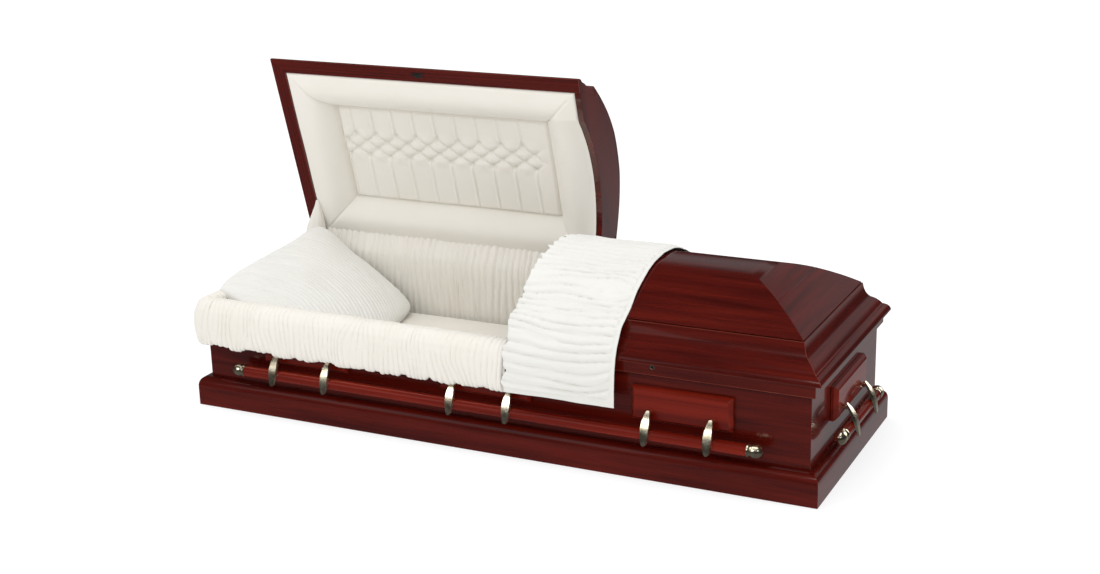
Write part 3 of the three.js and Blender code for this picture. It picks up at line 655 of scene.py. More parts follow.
# %% Plaques, arms, bars and tips on the four sides
for side, (turn, reach, length) in bar_sides.items():
    body = side + "_bar"
    is_long = side in ("front", "back")
    for number, centre in enumerate((-PLAQUE_STEP, 0, PLAQUE_STEP) if is_long else (0,)):
        node = "plaque_" + side + ("_%d" % (number + 1) if is_long else "")
        steps = [[(-a, -d, -b), (a, -d, -b), (a, -d, b), (-a, -d, b)] for a, b, d in plaque_steps]
        steps = np.array(steps, float) + [centre, -reach, PLAQUE_Z + plaque_steps[0][1]]
        uv = np.stack([steps[..., 0], steps[..., 2] + steps[..., 1]], axis=-1) / 1000
        block = lay_grid(node + "_wood", move(steps, turn), uv, round_cols=True, capped=True, crease=25)
        place(ease(block, 1.2, angle=20), "casket", "handle_wood", bright_wood, node)
        for k, offset in enumerate((-ARM_ASIDE, ARM_ASIDE)):
            arm = "arm_%s_%d" % (side, 2 * number + k + 1)
            grid = move(arms + [centre + offset, -reach - ARM_OUT, 0], turn)
            leaf = lay_grid(arm + "_metal", grid, round_cols=True, capped=True, crease=50)
            place(leaf, body, "antique_metal", metal, arm)
            lug, lug_uv = turned([(-7, 0), (-7, 6), (-6, 7), (6, 7), (7, 6), (7, 0)], 24)
            lug = move(lug + [centre + offset, -reach - PIVOT_OUT, PIVOT_Z], turn)
            knob = lay_grid(arm.replace("arm", "lug"), lug, lug_uv, round_cols=True)
            place(knob, "casket", "antique_metal", metal)
    h = length / 2
    rod, rod_uv = turned([(-h, 0), (-h, 17.8), (0.5 - h, BAR_RADIUS), (h - 0.5, BAR_RADIUS), (h, 17.8), (h, 0)])
    rod = move(rod + [0, -reach - BAR_OUT, BAR_Z], turn)
    bar = lay_grid("bar_%s_wood" % side, rod, rod_uv, round_cols=True)
    place(bar, body, "handle_wood", bright_wood, "bar_" + side)
    for k, way in enumerate((1, -1)):
        tip, tip_uv = turned(tip_profile)
        tip = move(tip * [way, 1, 1] + [way * (h + 0.3), -reach - BAR_OUT, BAR_Z], turn)
        end = lay_grid("tip_%s_%d_metal" % (side, k + 1), tip, tip_uv, round_cols=True)
        place(end, body, "antique_metal", metal, "tip_%s_%d" % (side, k + 1))
print("handles on", len(bar_sides), "sides")

# %% [markdown]
# ## Lining of a lid
# The lining is upholstery: four puffed rolls, mitred at the corners, round a panel that is buttoned in a
# band of diamonds and pleated above and below it. It is one height over the lid's opening. Each roll's
# depth grows with the distance from the wood, and the roll whose wood is nearest wins, which gives the
# mitres. The roll at the cut end starts along the header's arch.

# %% The rolls
ROLL, PANEL_DEPTH = 139.0, 57.0
LINING_SIDE, HIP_GAP, CUT_GAP = 317.5, 50, 21.5  # half the opening's width, and its ends inside the lid's


def arch_height(y):
    """Height of the header's circular arch above the lid's underside, and 0 beyond its ends."""
    inside = np.clip(ARCH_RADIUS**2 - y**2, 0, None)
    return np.clip(ARCH_RISE - ARCH_RADIUS + np.sqrt(inside), 0, None)


def roll_depth(t, edge=0.0):
    """Depth of a roll at t = 0 (wood) to 1 (panel): it starts at an edge's depth, swells and dives in."""
    swell = 8 * np.sin(np.pi * np.clip(t / 0.86, 0, 1)) ** 1.4
    dive = np.clip((t - 0.42) / 0.58, 0, 1) ** 2.6
    start = edge * (1 - 0.62 * smooth_step(t, 0, 0.45)) * (1 - dive)
    return start - swell + PANEL_DEPTH * dive


print("arch over the body:", arch_height(np.array([0.0, ARCH_SPAN])).round(1), "mm")


# %% The tufts
def tufts(x, y, first, calm, step=80.0, row=27.0, top=-76.0, rows=3):
    """Diamonds between two families of slanting creases, narrow tucks in the cloth beyond, and dimples."""
    p = (x - first) / step + 0.035 * (smooth_noise(x / 55, y / 30, 11) - 0.5)
    q = (y - top) / row + 0.10 * (smooth_noise(x / 48, y / 40, 12) - 0.5)
    band = np.clip(q, 0, rows)
    f1, f2 = p + band / 2, p - band / 2
    puff = np.abs(np.sin(np.pi * f1) * np.sin(np.pi * f2)) ** 0.55
    outside = np.clip(np.maximum(-q, q - rows), 0, None) * row
    plain = smooth_step(outside, -1, 34)
    height = (12.0 * puff) * (1 - plain) + 7.0 * plain * np.abs(np.sin(np.pi * f1)) ** 0.16
    aside = ((f1 + 0.5) % 1 - 0.5) * step
    tuck = 6.5 * np.clip(1 + aside / 9, 0, 1) * np.clip(1 - aside / 2.5, 0, 1) * smooth_step(outside, 4, 16)
    dimple = np.zeros_like(x)
    for k in range(rows + 1):
        near = (x - first) / step - 0.5 * (k % 2)
        across = (near - np.round(near)) * step
        dimple += 9 * np.exp(-(across**2 + (y - top - k * row) ** 2) / 50)
    return -(height + tuck - dimple) * (1 - calm) - 7.0 * calm


middle_tuft = tufts(np.array([40.0]), np.array([-36.0]), 0.0, 0.0)
print("depth of a tuft's middle:", middle_tuft.round(1), "mm")


# %% The linings of both lid halves
def lining_piece(name, hip, cut, open_lid, pitch):
    """A grid over the opening, with the depth of the nearest of four rolls or of the tufted panel within."""
    out = np.sign(hip - cut)
    hip_edge, cut_edge = hip - out * HIP_GAP, cut + out * CUT_GAP
    x = np.linspace(hip_edge, cut_edge, int(abs(hip_edge - cut_edge) / pitch))
    y = np.linspace(-LINING_SIDE, LINING_SIDE, int(2 * LINING_SIDE / pitch))
    x, y = np.meshgrid(x, y, indexing="ij")
    th, tc, ty = (d / ROLL for d in (np.abs(x - hip_edge), np.abs(x - cut_edge), LINING_SIDE - np.abs(y)))
    cut_roll = roll_depth(tc, arch_height(y) * smooth_step(ty - tc, 0, 0.3))
    depth = np.where(ty <= np.minimum(th, tc), roll_depth(ty), np.where(th <= tc, roll_depth(th), cut_roll))
    least, second = np.sort(np.stack([th, tc, ty]), axis=0)[:2]
    mitre = np.exp(-(((second - least) * ROLL / 4.5) ** 2)) * smooth_step(least, 0.05, 0.3) * (least < 1)
    tuck = np.exp(-np.minimum(least * ROLL, 60) / 3) * (1 - smooth_step(arch_height(y), 0, 4) * (tc < 0.1))
    depth = np.where(least < 1, depth + 3.5 * mitre + 5 * tuck, PANEL_DEPTH)
    depth += 2.4 * (smooth_noise(x / 150, y / 150, 5) - 0.5) + 0.5 * (smooth_noise(x / 37, y / 37, 6) - 0.5)
    depth += 5 * np.exp(-(((least - 1) * ROLL / 3.5) ** 2))  # the seam round the panel
    calm = 0.9 * (1 - smooth_step((tc - 1) * ROLL, 26, 62))
    button = tufts(x, y, (hip_edge if out < 0 else cut_edge) + ROLL + 52, calm)
    depth += smooth_step(least, 0.985, 1.03) * (button + 1) * smooth_step(least, 1.0, 1.09)
    grid = np.stack([x, y, LID_Z + depth], axis=-1)
    return turn_piece(lay_grid(name, grid, closed=False, flip=out < 0, crease=80), open_lid)


for lid, hip, cut, pitch in (("head_lid", -LID_END, CUT_HEAD, 3.2), ("foot_lid", LID_END, CUT_FOOT, 7.0)):
    lining = lining_piece(lid + "_lining", hip, cut, lid == "head_lid", pitch)
    place(lining, lid, "ivory_cloth", ivory, lid + "_padding")
    print(lining.name, "has", len(lining.data.polygons), "faces")

# %% [markdown]
# ## Shirred cloth
# Most of the interior is shirred: cloth gathered so that small uneven folds run up and down. A run of it is
# a path in plan and a section up the wall, pushed out by folds that are random across and long up the wall.

# %% Paths in plan
def plan_path(corners, radius, pitch):
    """Even points along straight runs joined by arcs, their outward normals to the right, and lengths."""
    corners = np.array(corners, float)
    points, normals = [], []
    for i in range(len(corners) - 1):
        a, b = corners[i], corners[i + 1]
        way = (b - a) / np.linalg.norm(b - a)
        start = a + way * (radius if i else 0)
        end = b - way * (radius if i < len(corners) - 2 else 0)
        count = max(2, int(np.linalg.norm(end - start) / pitch))
        t = np.linspace(0, 1, count)[:, None]
        points.append(start + (end - start) * t)
        normals.append(np.repeat([[way[1], -way[0]]], count, axis=0))
        if i < len(corners) - 2:
            c = corners[i + 2] - b
            turn = np.sign(way[0] * c[1] - way[1] * c[0])
            centre = end + turn * radius * np.array([-way[1], way[0]])
            angle = np.linspace(0, turn * np.pi / 2, max(4, int(radius * 1.6 / pitch)))[1:-1]
            (ex, ey), cos, sin = end - centre, np.cos(angle), np.sin(angle)
            arc = np.stack([cos * ex - sin * ey, sin * ex + cos * ey], axis=1)
            points.append(centre + arc)
            normals.append(turn * arc / radius)
    points, normals = np.concatenate(points), np.concatenate(normals)
    return points, normals, run_length(points)


print("a square corner's length:", plan_path([(0, 0), (50, 0), (50, 50)], 10, 2)[2][-1].round(1), "mm")


# %% Sections up the wall
def spaced(points, pitch):
    """The same line through more points at an even spacing, smoothed by a short running mean."""
    points = np.array(points, float)
    length = run_length(points)
    fine = np.linspace(0, length[-1], int(length[-1] / pitch) + 1)
    line = np.stack([np.interp(fine, length, points[:, k]) for k in range(points.shape[1])], axis=1)
    for _ in range(6):
        line[1:-1] = (line[:-2] + 2 * line[1:-1] + line[2:]) / 4
    return line, fine


print("a bent section:", len(spaced([(0, 0), (0, 20), (10, 30)], 2.0)[0]), "points")


# %% Runs of shirred cloth
def pushed(points, normals, offset, height):
    """A grid whose rows stand at the plan's points, moved out by an offset and raised to a height."""
    plan = points[:, None, :] + offset[..., None] * normals[:, None, :]
    return np.concatenate([plan, height[..., None]], axis=-1)


def shirred(name, plan, section, depth, period, seed):
    """Carries an (outward, z) section along a plan path and pushes it out by folds."""
    points, normals, along = plan
    line, up = spaced(section, 4.16)
    push = section_normals(line)
    s, t = np.meshgrid(along, up, indexing="ij")
    wave = (folds(s, t, period, seed) - 0.55) * depth(t / up[-1])
    grid = pushed(points, normals, line[:, 0] + push[:, 0] * wave, line[:, 1] + push[:, 1] * wave)
    return lay_grid(name, grid, np.stack([s, t], axis=-1) / 1000, closed=False, crease=80)


def thicken(piece, thickness):
    """Gives a sheet its thickness behind its face."""
    solid = piece.modifiers.new("thickness", "SOLIDIFY")
    solid.thickness = thickness / 1000
    solid.offset = -1
    return piece


def area(piece):
    """Area of a mesh in square metres."""
    return sum(f.area for f in piece.data.polygons)


print("the base moulding's area:", round(area(base), 3), "m2")

# %% [markdown]
# ## Overthrow
# The overthrow lies over the front and head rims like a soft roll and hangs down outside. It is laid in
# three runs. The folds are deepest at the hem, which the gathers pull into small scallops.

# %% The overthrow's sections, as (outward, height)
front_section = [(33, 215), (43, 218), (48, 232), (51, 258), (52, 285), (50, 312), (44, 336), (32, 354),
                 (14, 363), (-8, 362), (-26, 356), (-36, 342), (-41, 322), (-39, 295), (-35, 262)]
head_section = [(27, 227), (33, 230), (37, 245), (40, 268), (41, 290), (38, 314), (31, 338),
                (19, 354), (4, 362), (-14, 363), (-28, 356), (-33, 338), (-34, 300), (-34, 262)]


def drape_depth(share):
    """Fold depth along the section: deepest at the hem, shallow over the crest, deeper again inside."""
    return 8.5 + 2.0 * (1 - smooth_step(share, 0, 0.3)) - 2.5 * np.exp(-(((share - 0.55) / 0.12) ** 2))


def resampled(outline, count):
    """A smoothed outline as a number of even points, and its girth."""
    line, up = spaced(outline, 1.0)
    even = np.linspace(0, len(line) - 1, count)
    return np.stack([np.interp(even, np.arange(len(line)), line[:, k]) for k in (0, 1)], axis=1), up[-1]


print("girth over the front rim:", resampled(front_section, 60)[1].round(), "mm")


# %% The folds of the overthrow
CORNER_AT, CORNER_SPREAD = 630, 30  # where the run rounds the corner, in mm from its start


def draped(plan, first, last, share, depth, period, seed, hem):
    """A run of shirred cloth whose section turns from one outline to another by share, one value a row."""
    points, normals, along = plan
    count = int(run_length(np.array(first, float))[-1] / 4.2)
    (first, _), (last, girth) = resampled(first, count), resampled(last, count)
    share = share[:, None, None]
    line = first[None] * (1 - share) + last[None] * share
    push = section_normals(first)
    s, t = np.meshgrid(along, np.linspace(0, girth, count), indexing="ij")
    end = smooth_step(s, along[-1] - 16, along[-1])
    wave = folds(s + 5 * np.sin(t / 38 + s / 90), t, period, seed, length=5, drift=1.0) - 0.45 - 0.9 * end
    wave = wave * depth(t / girth)
    corner = np.exp(-(((along - CORNER_AT) / CORNER_SPREAD) ** 2))[:, None]
    reach = np.where(line[..., 0] < 0, line[..., 0] * (1 - 0.45 * corner), line[..., 0])
    scallop = hem * (smooth_noise(s / (1.3 * period), s * 0, seed + 9) - 0.5) * (1 - smooth_step(t, 0, 45))
    grid = pushed(points, normals, reach + push[:, 0] * wave, line[..., 1] + push[:, 1] * wave + scallop)
    return grid, np.stack([s, t], axis=-1) / 1000


overthrow_plan = plan_path([(-HALF_LENGTH, 292), (-HALF_LENGTH, -HALF_WIDTH), (90, -HALF_WIDTH)], 10, 2.3)
turning = smooth_step(overthrow_plan[2], 560, 690)
run_grid, run_uv = draped(overthrow_plan, head_section, front_section, turning, drape_depth, 18, 21, 15)
print("overthrow grid:", run_grid.shape)

# %% The overthrow in its three runs
corner_start, corner_end = (int(np.searchsorted(overthrow_plan[2], at)) for at in (588, 665))
runs = (("overthrow_head_cloth", 0, corner_start + 1, (1, 0, 0), (-0.982, 0, 0), ["overthrow_head"]),
        ("overthrow_corner_cloth", corner_start, corner_end + 1, (1, 1, 0), (-0.965, -0.285, 0), []),
        ("overthrow_front_cloth", corner_end, len(run_grid), (0, 1, 0), (0, -0.306, 0), ["overthrow_front"]))
for name, a, b, axis, anchor, nodes in runs:
    piece = lay_grid(name, run_grid[a:b], run_uv[a:b], closed=False, crease=80)
    place(thicken(piece, 2.5), "casket", "ivory_cloth", ivory, *nodes)
    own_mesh(piece)
    print(name, "area", round(area(piece), 3), "m2")

# %% [markdown]
# ## Inside of the body
# The boards are lined with the same shirred cloth, from the bed to the top moulding. At the back of the
# head end the lining goes on up over the hinge to the open lid; that run moves with neither body.

# %% Side lining and hinge cloth
inner_x, inner_y, half_cut = 989.0, 306.0, 88
wall = [(0, 60), (0, 120), (1, 200), (2, 280), (1, 330), (-2, 346)]
around = [(half_cut, inner_y), (inner_x, inner_y), (inner_x, -inner_y), (-inner_x, -inner_y),
          (-inner_x, inner_y), (-975, inner_y)]
apron_section = [(0, 150), (-1, 200), (-2, 280), (-1, 330), (1, 348),
                 (4, 366), (13, 384), (23, 403), (31, 420), (35, 430)]


def lining_depth(share):
    """Fold depth of the side lining, a little less at the tacked top edge."""
    return 9.0 - 4.0 * smooth_step(share, 0.85, 1.0)


side_lining = shirred("side_lining_cloth", plan_path(around, 22, 4.0), wall, lining_depth, 17, 41)
place(side_lining, "casket", "ivory_cloth", ivory, "side_lining")
apron_plan = plan_path([(half_cut, inner_y), (-985, inner_y)], 0, 2.8)
apron = shirred("back_cloth", apron_plan, apron_section, lambda share: -12.0, 24, 52)
place(apron, None, "ivory_cloth", ivory, "hinge_apron")
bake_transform(apron)
for piece, flat in ((side_lining, (4.49, 0.287)), (apron, (1.21, 0.287))):
    print(piece.name, "area", round(area(piece), 3), "m2")


# %% [markdown]
# ### The mattress
# The mattress is a low cushion with a few soft wrinkles. Rings of a rounded square grow from the middle of
# its underside, round its edge and back to the middle of its top.

# %% The mattress
def squared(wave, power):
    """A sine or cosine raised to a power below 1, which turns a circle into a rounded square."""
    return np.sign(wave) * np.abs(wave) ** power


def cushion(name, half_x, half_y, low, high, edge, count, wrinkle, seed):
    """A low closed pad: a rounded plan drawn in towards its top and bottom, with soft wrinkles on top."""
    a = circle(count)
    side = np.linspace(-np.pi / 2, np.pi / 2, 15)
    grow = np.linspace(0, 1, 33)[:-1]
    scale = np.concatenate([grow, np.ones(len(side)), grow[::-1]])[:, None]
    middle, tall = 0.5 * (low + high), 0.5 * (high - low)
    inset = np.pad(edge * (1 - np.cos(side)), len(grow), constant_values=edge)[:, None]
    height = np.pad(middle + tall * np.sin(side), len(grow), constant_values=(low, high))
    x = scale * half_x * squared(np.cos(a), 0.35) * (1 - inset / half_x)
    y = scale * half_y * squared(np.sin(a), 0.35) * (1 - inset / half_y)
    z = np.repeat(height[:, None], count, 1)
    upper = (z > middle + 0.9 * tall) * (1 - scale**8)
    z = z + upper * wrinkle * (smooth_noise(x / 90, y / 60, seed) - 0.4) * 2
    grid = np.stack([x, y, z], axis=-1)[1:-1]
    return lay_grid(name, grid, round_cols=True, capped=True, crease=80)


bed = cushion("mattress_pad", 984, 301, 19, 171, 24, 240, 7, 61)
place(bed, "casket", "ivory_cloth", ivory, "mattress")
print("mattress", [round(float(v), 3) for v in bed.dimensions], "m")

# %% [markdown]
# ## Pillow
# The pillow leans from the bed up over the head rim. It is a cushion with a rounded plan that swells from
# its seam. Its cover is gathered at the edges, so fine creases run in from the seam and fade to the middle.

# %% The pillow's two faces
PILLOW_ROWS, PILLOW_COLS = 190, 210


def pillow_sides(rows, cols):
    """Two faces over (u, v) in -1...1: a four-cornered patch that swells from its seam along its normal.

    The pleats follow the distance from a point beyond the front edge, so they fan across the top.
    """
    corners = np.array([[[-1040, -284, 373], [-982, 286, 430]], [[-562, -276, 188], [-598, 284, 184]]], float)
    u, v = np.meshgrid(np.linspace(-1, 1, rows), np.linspace(-1, 1, cols), indexing="ij")
    round_in = 1 - 0.075 * (u * v) ** 4
    su, sv = ((u * round_in + 1) / 2)[..., None], ((v * round_in + 1) / 2)[..., None]
    high, low = (end[0] * (1 - sv) + end[1] * sv for end in corners)
    seam = high * (1 - su) + low * su
    seam[..., 0] += -6 * (1 - v**2) * (u < 0) * u**2 + 14 * (1 - v**2) * smooth_step(u, 0, 1)
    seam[..., 2] += 26 * smooth_step(v, 0.35, 1) * smooth_step(-u, 0.2, 1)
    swell = ((1 - u**2) * (1 - v**2)) ** 0.33
    reach = np.hypot(u + 0.15, 0.9 * (v + 1.75)) * 290
    turn = np.arctan2(v + 1.75, u + 0.15) * 420
    strength = (0.35 + 0.65 * smooth_step(u, -0.5, 0.4)) * smooth_step(swell, 0.0, 0.25)
    pleat = (folds(reach, turn, 15, 71, length=14) - 0.5) * strength
    crease = (folds(reach, turn, 62, 75, length=6) - 0.5) * smooth_step(-u - 0.6 * v, 0.1, 1.1)
    broad = smooth_noise(u * 2.5 + 4, v * 2.5 + 4, 72) - 0.5
    push = np.array([0.42, 0.0, 0.907])
    relief = 7.0 * pleat + 15.0 * crease * swell + 8 * broad * swell
    return [seam + (side * (full * swell + relief))[..., None] * push for side, full in ((1, 62), (-1, 44))]


pillow_points = np.stack(pillow_sides(PILLOW_ROWS, PILLOW_COLS)).reshape(-1, 3)
print("pillow from", pillow_points.min(axis=0).round(), "to", pillow_points.max(axis=0).round(), "mm")

# %% The pillow, welded along its seam
quads = grid_faces(PILLOW_ROWS, PILLOW_COLS)
quads = np.concatenate([quads, quads[:, ::-1] + PILLOW_ROWS * PILLOW_COLS])
pillow = lay("pillow_cushion", pillow_points, quads, crease=180)
weld = pillow.modifiers.new("seam", "WELD")
weld.merge_threshold = 0.0002
place(pillow, "casket", "ivory_cloth", throw_cloth, "pillow")
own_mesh(pillow)
print(pillow.name, "has", len(pillow.data.polygons), "faces")

# %% [markdown]
# ## Throw
# The throw is a plain piece of the whiter cloth, ruched across, that lies over the cut end of the foot lid
# and hangs down in front. Its folds run along the casket and sag a little; its right and lower edges are
# hemmed, and its left edge runs out in short uneven ruffles.

# %% The throw's section, as (inset, height above the lid's underside)
THROW_WIDTH = 350
hang = [(-26, -138), (-25, -80), (-21, -30), (-13, 8), (-1, 38), (34, 88)]
over = [(103, 124), (150, 161), (184, 178), (240, 201), (289, 214), (LID_SIDE, 221)]
front_half = [(inset - LID_SIDE, LID_Z + rise) for inset, rise in hang + over]
back_half = [(LID_SIDE - inset, LID_Z + rise) for inset, rise in over[-2::-1] + [(88, 118)]]
throw_line, throw_up = spaced(front_half + back_half, 3.6)
print("round the lid:", throw_up[-1].round(), "mm")


# %% The throw
def throw_grid(pitch):
    """The section carried along X, lifted by folds that run along X, with a hem and a ragged left edge."""
    push = -section_normals(throw_line)
    x = np.linspace(0, THROW_WIDTH, int(THROW_WIDTH / pitch))
    s, t = np.meshgrid(x, throw_up, indexing="ij")
    sag = 12 * np.sin(np.pi * s / THROW_WIDTH) + 14 * (smooth_noise(s / 120, t / 160, 81) - 0.5)
    ruche = folds(t + sag, s, 27, 82, length=5.0, drift=1.1)
    hem = np.minimum(smooth_step(THROW_WIDTH - s, 9, 17), smooth_step(t, 11, 19))
    out = np.clip(ruche, 0, 1) * (13.0 * hem + 1.0) + 1.6 * (1 - hem) + 0.5
    ragged = (1 - smooth_step(s, 0, 60)) * (20 * smooth_noise(t / 17, t * 0, 83) - 15)
    sway = 4 * (smooth_noise(s / 90, t * 0, 84) - 0.5) * (1 - smooth_step(t, 0, 140))
    rise = 3 * (smooth_noise(s / 60, t * 0, 85) - 0.5) * (1 - smooth_step(t, 0, 60))
    y = throw_line[:, 0] + push[:, 0] * out - sway
    z = throw_line[:, 1] + push[:, 1] * out + rise
    return np.stack([CUT_FOOT + 3.5 + s + ragged, y, z], axis=-1), np.stack([s, t], axis=-1) / 1000


throw_points, throw_uv = throw_grid(3.0)
throw = lay_grid("throw_cloth", throw_points, throw_uv, closed=False, flip=True, crease=80)
place(thicken(throw, 2.0), "foot_lid", "ivory_cloth", throw_cloth, "throw")
print("throw area", round(area(throw), 3), "m2")

# %% [markdown]
# ## Cover of the lid stay
# At the back corner of the head end a peak of cloth hides the arm that holds the lid up. It is a narrow
# tent: level rings, wide at the bottom and small at the tip, pinched by upright folds.

# %% The stay cover
def peak_grid(levels, sides):
    """Level ovals given by (x0, x1, y0, y1, z), pinched by upright folds that fade towards the tip."""
    levels = np.array(levels, float)
    z = np.linspace(levels[0, 4], levels[-1, 4], 46)
    x0, x1, y0, y1 = (np.interp(z, levels[:, 4], levels[:, k])[:, None] for k in range(4))
    a = circle(sides)
    share = ((z - z[0]) / (z[-1] - z[0]))[:, None]
    pinch = 1 + 0.30 * (folds(a[None, :] * 28, z[:, None], 22, 91) - 0.5) * (1 - 0.6 * share)
    x = 0.5 * (x0 + x1) + 0.5 * (x1 - x0) * squared(np.cos(a), 0.7) * pinch
    y = 0.5 * (y0 + y1) + 0.5 * (y1 - y0) * squared(np.sin(a), 0.7) * pinch
    grid = np.stack([x, y, np.repeat(z[:, None], sides, 1)], axis=-1)
    uv = np.stack([np.repeat(a[None, :] * 0.03, len(z), 0), grid[..., 2] / 1000], axis=-1)
    return grid, uv


peak_levels = [(-1034, -980, 300, 354, 357), (-1052, -980, 297, 354, 372), (-1062, -982, 299, 350, 394),
               (-1050, -984, 303, 342, 436), (-1029, -987, 306, 334, 478), (-1012, -991, 308, 326, 512),
               (-1004, -995, 309.5, 315, 532)]
peak, peak_uv = peak_grid(peak_levels, 64)
cover = lay_grid("stay_cover_cloth", peak, peak_uv, round_cols=True, closed=False, crease=70)
place(thicken(cover, 1.2), "casket", "ivory_cloth", ivory, "stay_cover")
print("stay cover area", round(area(cover), 3), "m2")
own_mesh(cover)

# %% [markdown]
# ## Small fittings
# Two small metal fittings finish the wood: the keyhole of the end lock in the top moulding, and the arched
# catch plate in the head lid's front rail.

# %% The lock
LOCK_AT = (551, -353, 346)


def ring_grid(profile, sides=32):
    """A (radius, outward) profile spun about an axis along Y at the lock."""
    radius, out = np.array(profile, float).T
    a = circle(sides)
    x = LOCK_AT[0] + radius[:, None] * np.cos(a)
    z = LOCK_AT[2] + radius[:, None] * np.sin(a)
    y = LOCK_AT[1] - np.repeat(out[:, None], sides, 1)
    return np.stack([x, y, z], axis=-1), np.stack([x, z], axis=-1) / 1000


lock, lock_uv = ring_grid([(7.6, -1), (7.6, 0.9), (7.0, 1.5), (5.6, 1.5), (5.0, 0.9), (5.0, -1)])
lock_ring = lay_grid("lock_ring", lock, lock_uv, round_rows=True, round_cols=True)
place(lock_ring, "casket", "antique_metal", metal)
# The keyhole is a near-black disc: painted shadow where the hole is dark.
hole, hole_uv = ring_grid([(0.01, -1), (5.0, -1), (5.0, 0.35), (0.01, 0.35)])
lock_hole = lay_grid("lock_hole", hole, hole_uv, round_cols=True, capped=True)
place(lock_hole, "casket", "antique_metal", painted_shadow)
print("lock at", LOCK_AT, "mm")


# %% The catch
def catch_grid(half, rise, foot):
    """The catch plate's outline, a low arch, between two depths in the head lid's front rail."""
    x = np.linspace(-half, half, 23)
    arch = np.sqrt(np.clip(1 - (x / half) ** 2, 0, 1)) * rise + foot
    outline = np.column_stack([np.concatenate([x, x[::-1]]), np.concatenate([arch, np.full_like(x, foot)])])
    levels = [(0.86, LID_Z - 1.2), (1, LID_Z - 0.4), (1, LID_Z + 4)]
    return np.stack([np.column_stack([outline * k, np.full(len(outline), z)]) for k, z in levels])


# The catch plate takes the same near-black painted shadow.
catch = catch_grid(21.5, 19, -9.5) + [-485, -343, 0]
plate = turn_piece(lay_grid("catch_plate", catch, round_cols=True, capped=True), True)
place(plate, "head_lid", "antique_metal", painted_shadow)
print("catch plate", len(plate.data.polygons), "faces")

# %% [markdown]
# ## Camera and floor
# The camera stands where the photograph's straight edges put it. The floor is plain and pale, glows a little
# so that it stays nearly white, and is left out of reflections so that the lacquer stays deep.

# %% Camera
def facing(right, up, back, at):
    """The matrix of a camera or a lamp from its own axes and its place."""
    return Matrix([[right[i], up[i], back[i], at[i]] for i in range(3)] + [[0, 0, 0, 1]])


def camera_matrix(at, yaw, pitch, roll):
    """Columns are the camera's right, up and back, from its yaw, pitch and roll in degrees."""
    yaw, pitch, roll = np.radians([yaw, pitch, roll])
    back = np.array([np.sin(yaw) * np.cos(pitch), -np.cos(yaw) * np.cos(pitch), np.sin(pitch)])
    right = unit(np.cross(-back, [0, 0, 1]))
    up = np.cross(right, -back)
    right, up = np.cos(roll) * right + np.sin(roll) * up, np.cos(roll) * up - np.sin(roll) * right
    return facing(right, up, back, at)


camera = put("camera", bpy.data.cameras.new("camera"))
camera.matrix_world = camera_matrix((2.3117, -4.6357, 2.0671), 25.91, 17.672, -1.355)
camera.data.lens = 56.25
camera.data.sensor_width = 36
bpy.context.scene.camera = camera
print("camera lens", camera.data.lens, "mm")

# %% Floor
FLOOR_HALF, FLOOR_Z = 40, -0.002
corners = [(x * FLOOR_HALF, y * FLOOR_HALF, FLOOR_Z) for x, y in ((-1, -1), (1, -1), (1, 1), (-1, 1))]
floor_mesh = bpy.data.meshes.new("floor")
floor_mesh.from_pydata(corners, [], [(0, 1, 2, 3)])
floor = put("floor", floor_mesh)
floor_paint, floor_tree = shader("pale_floor")
finish_as(floor_tree, {"Base Color": (0.42, 0.42, 0.42, 1), "Roughness": 0.9, "Specular IOR Level": 0.0,
                       "Emission Color": (1, 1, 1, 1), "Emission Strength": 0.7})
floor.data.materials.append(floor_paint)
floor.visible_glossy = False
print("floor", 2 * FLOOR_HALF, "m wide")

# %% [markdown]
# ## Lamps
# A key lamp to the front right, a weaker fill to the front left and a small gleam along the top edges light
# the wood. A wide one overhead lights the cloth, and is kept out of reflections. Three large cards are seen
# by the metal alone: the fittings are gathered in a collection, and the cards are linked to it.

# %% Lamps
def soft_light(name, at, size, power, aim=(0, 0, 0.3), glossy=True):
    """A square area light that faces a point; a light kept out of reflections still lights the cloth."""
    lamp = put(name, bpy.data.lights.new(name, "AREA"))
    lamp.data.shape = "SQUARE"
    lamp.data.size = size
    lamp.data.energy = power
    way = unit(np.array(at, float) - np.array(aim, float))
    side = unit(np.cross([0, 0, 1], way))
    lamp.matrix_world = facing(side, np.cross(way, side), way, at)
    lamp.visible_glossy = glossy
    return lamp


soft_light("key", (3.4, -3.8, 3.4), 1.1, 14)
soft_light("fill", (-2.4, -4.4, 2.2), 2.6, 6)
soft_light("gleam", (0.4, -3.4, 3.4), 1.2, 8)
soft_light("overhead", (-0.4, -0.5, 3.2), 1.8, 25, aim=(-0.4, 0.1, 0.3), glossy=False)
fittings = bpy.data.collections.new("fittings")
for piece in bpy.data.objects:
    if piece.type == "MESH" and piece.data.materials and piece.data.materials[0] == metal:
        fittings.objects.link(piece)
cards = (("mirror card", (-2.2, -4.6, 3.0), 2.2, 70), ("side card", (2.8, 3.4, 1.6), 2.4, 45),
         ("top card", (0.0, -0.4, 5.0), 4.5, 110))
for name, at, size, power in cards:
    card = soft_light(name, at, size, power)
    card.visible_diffuse = False
    card.light_linking.receiver_collection = fittings

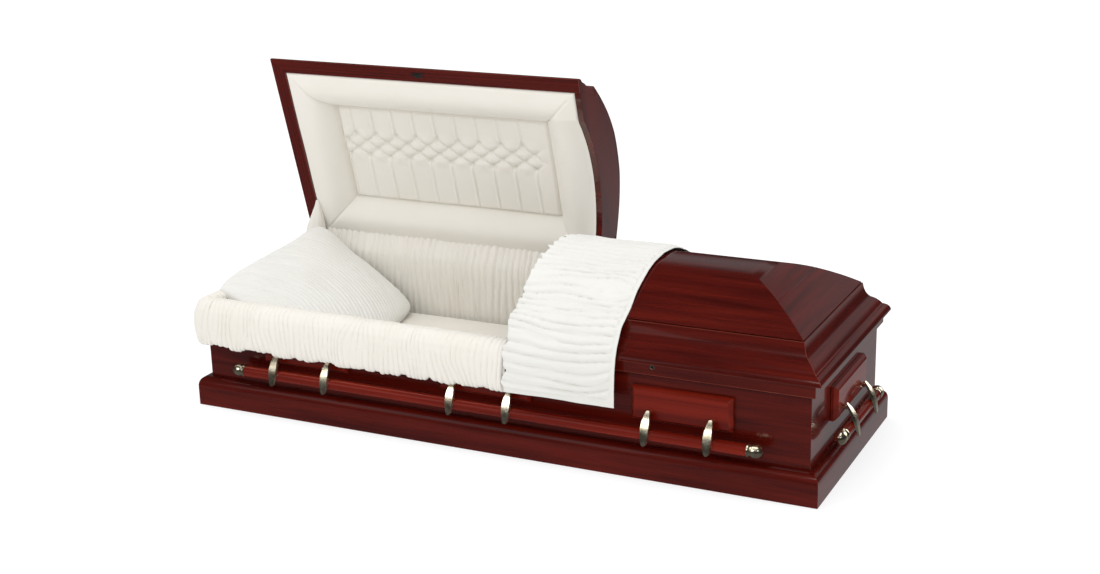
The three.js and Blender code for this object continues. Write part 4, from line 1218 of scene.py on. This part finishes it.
# %% [markdown]
# ## The room
# The cloth is lit by an even pale sky. Reflections see another room: nearly dark, so that the front boards
# stay deep red, with a dim ground that is brighter behind the casket, and a band of light just above the
# horizon at the back, which the roof mirrors. The camera sees plain white behind the floor.

# %% The room
world = bpy.data.worlds.new("studio")
bpy.context.scene.world = world
world.use_nodes = True
sky_tree = world.node_tree
direction = add(sky_tree, "ShaderNodeTexCoord").outputs["Generated"]
split = add(sky_tree, "ShaderNodeSeparateXYZ", Vector=direction)
ray = add(sky_tree, "ShaderNodeLightPath")


def step_of(axis, low, high, start, end):
    """A smooth step along an axis of the direction, from one brightness to another."""
    limits = {"From Min": low, "From Max": high, "To Min": start, "To Max": end}
    node = add(sky_tree, "ShaderNodeMapRange", interpolation_type="SMOOTHSTEP",
               Value=split.outputs[axis], **limits)
    return node.outputs["Result"]


def joined(operation, a, b):
    """One sum or product of two values or outputs."""
    node = add(sky_tree, "ShaderNodeMath", operation=operation)
    for socket, value in zip(node.inputs, (a, b)):
        feed(sky_tree, socket, value)
    return node.outputs[0]


rear = step_of("Y", 0.35, 0.9, 0.0, 1.0)
below = step_of("Z", -0.3, -0.1, 1.0, 0.0)
above = joined("MULTIPLY", step_of("Z", 0.18, 0.28, 0.0, 0.19), step_of("Z", 0.36, 0.5, 1.0, 0.0))
walls = joined("MULTIPLY", below, joined("ADD", joined("MULTIPLY", rear, 0.18), 0.08))
mirrored = joined("ADD", joined("ADD", walls, joined("MULTIPLY", rear, above)), 0.022)
glossy = joined("MULTIPLY", mirrored, ray.outputs["Is Glossy Ray"])
diffuse = joined("MULTIPLY", ray.outputs["Is Diffuse Ray"], 0.94)
strength = joined("ADD", diffuse, joined("ADD", glossy, ray.outputs["Is Camera Ray"]))
sky = sky_tree.nodes["Background"]
feed(sky_tree, sky.inputs["Strength"], strength)
feed(sky_tree, sky.inputs["Color"], (0.99, 0.985, 1.0, 1))
bpy.context.scene.view_settings.view_transform = "Standard"
bpy.context.scene.view_settings.look = "None"
print("room nodes:", len(sky_tree.nodes))
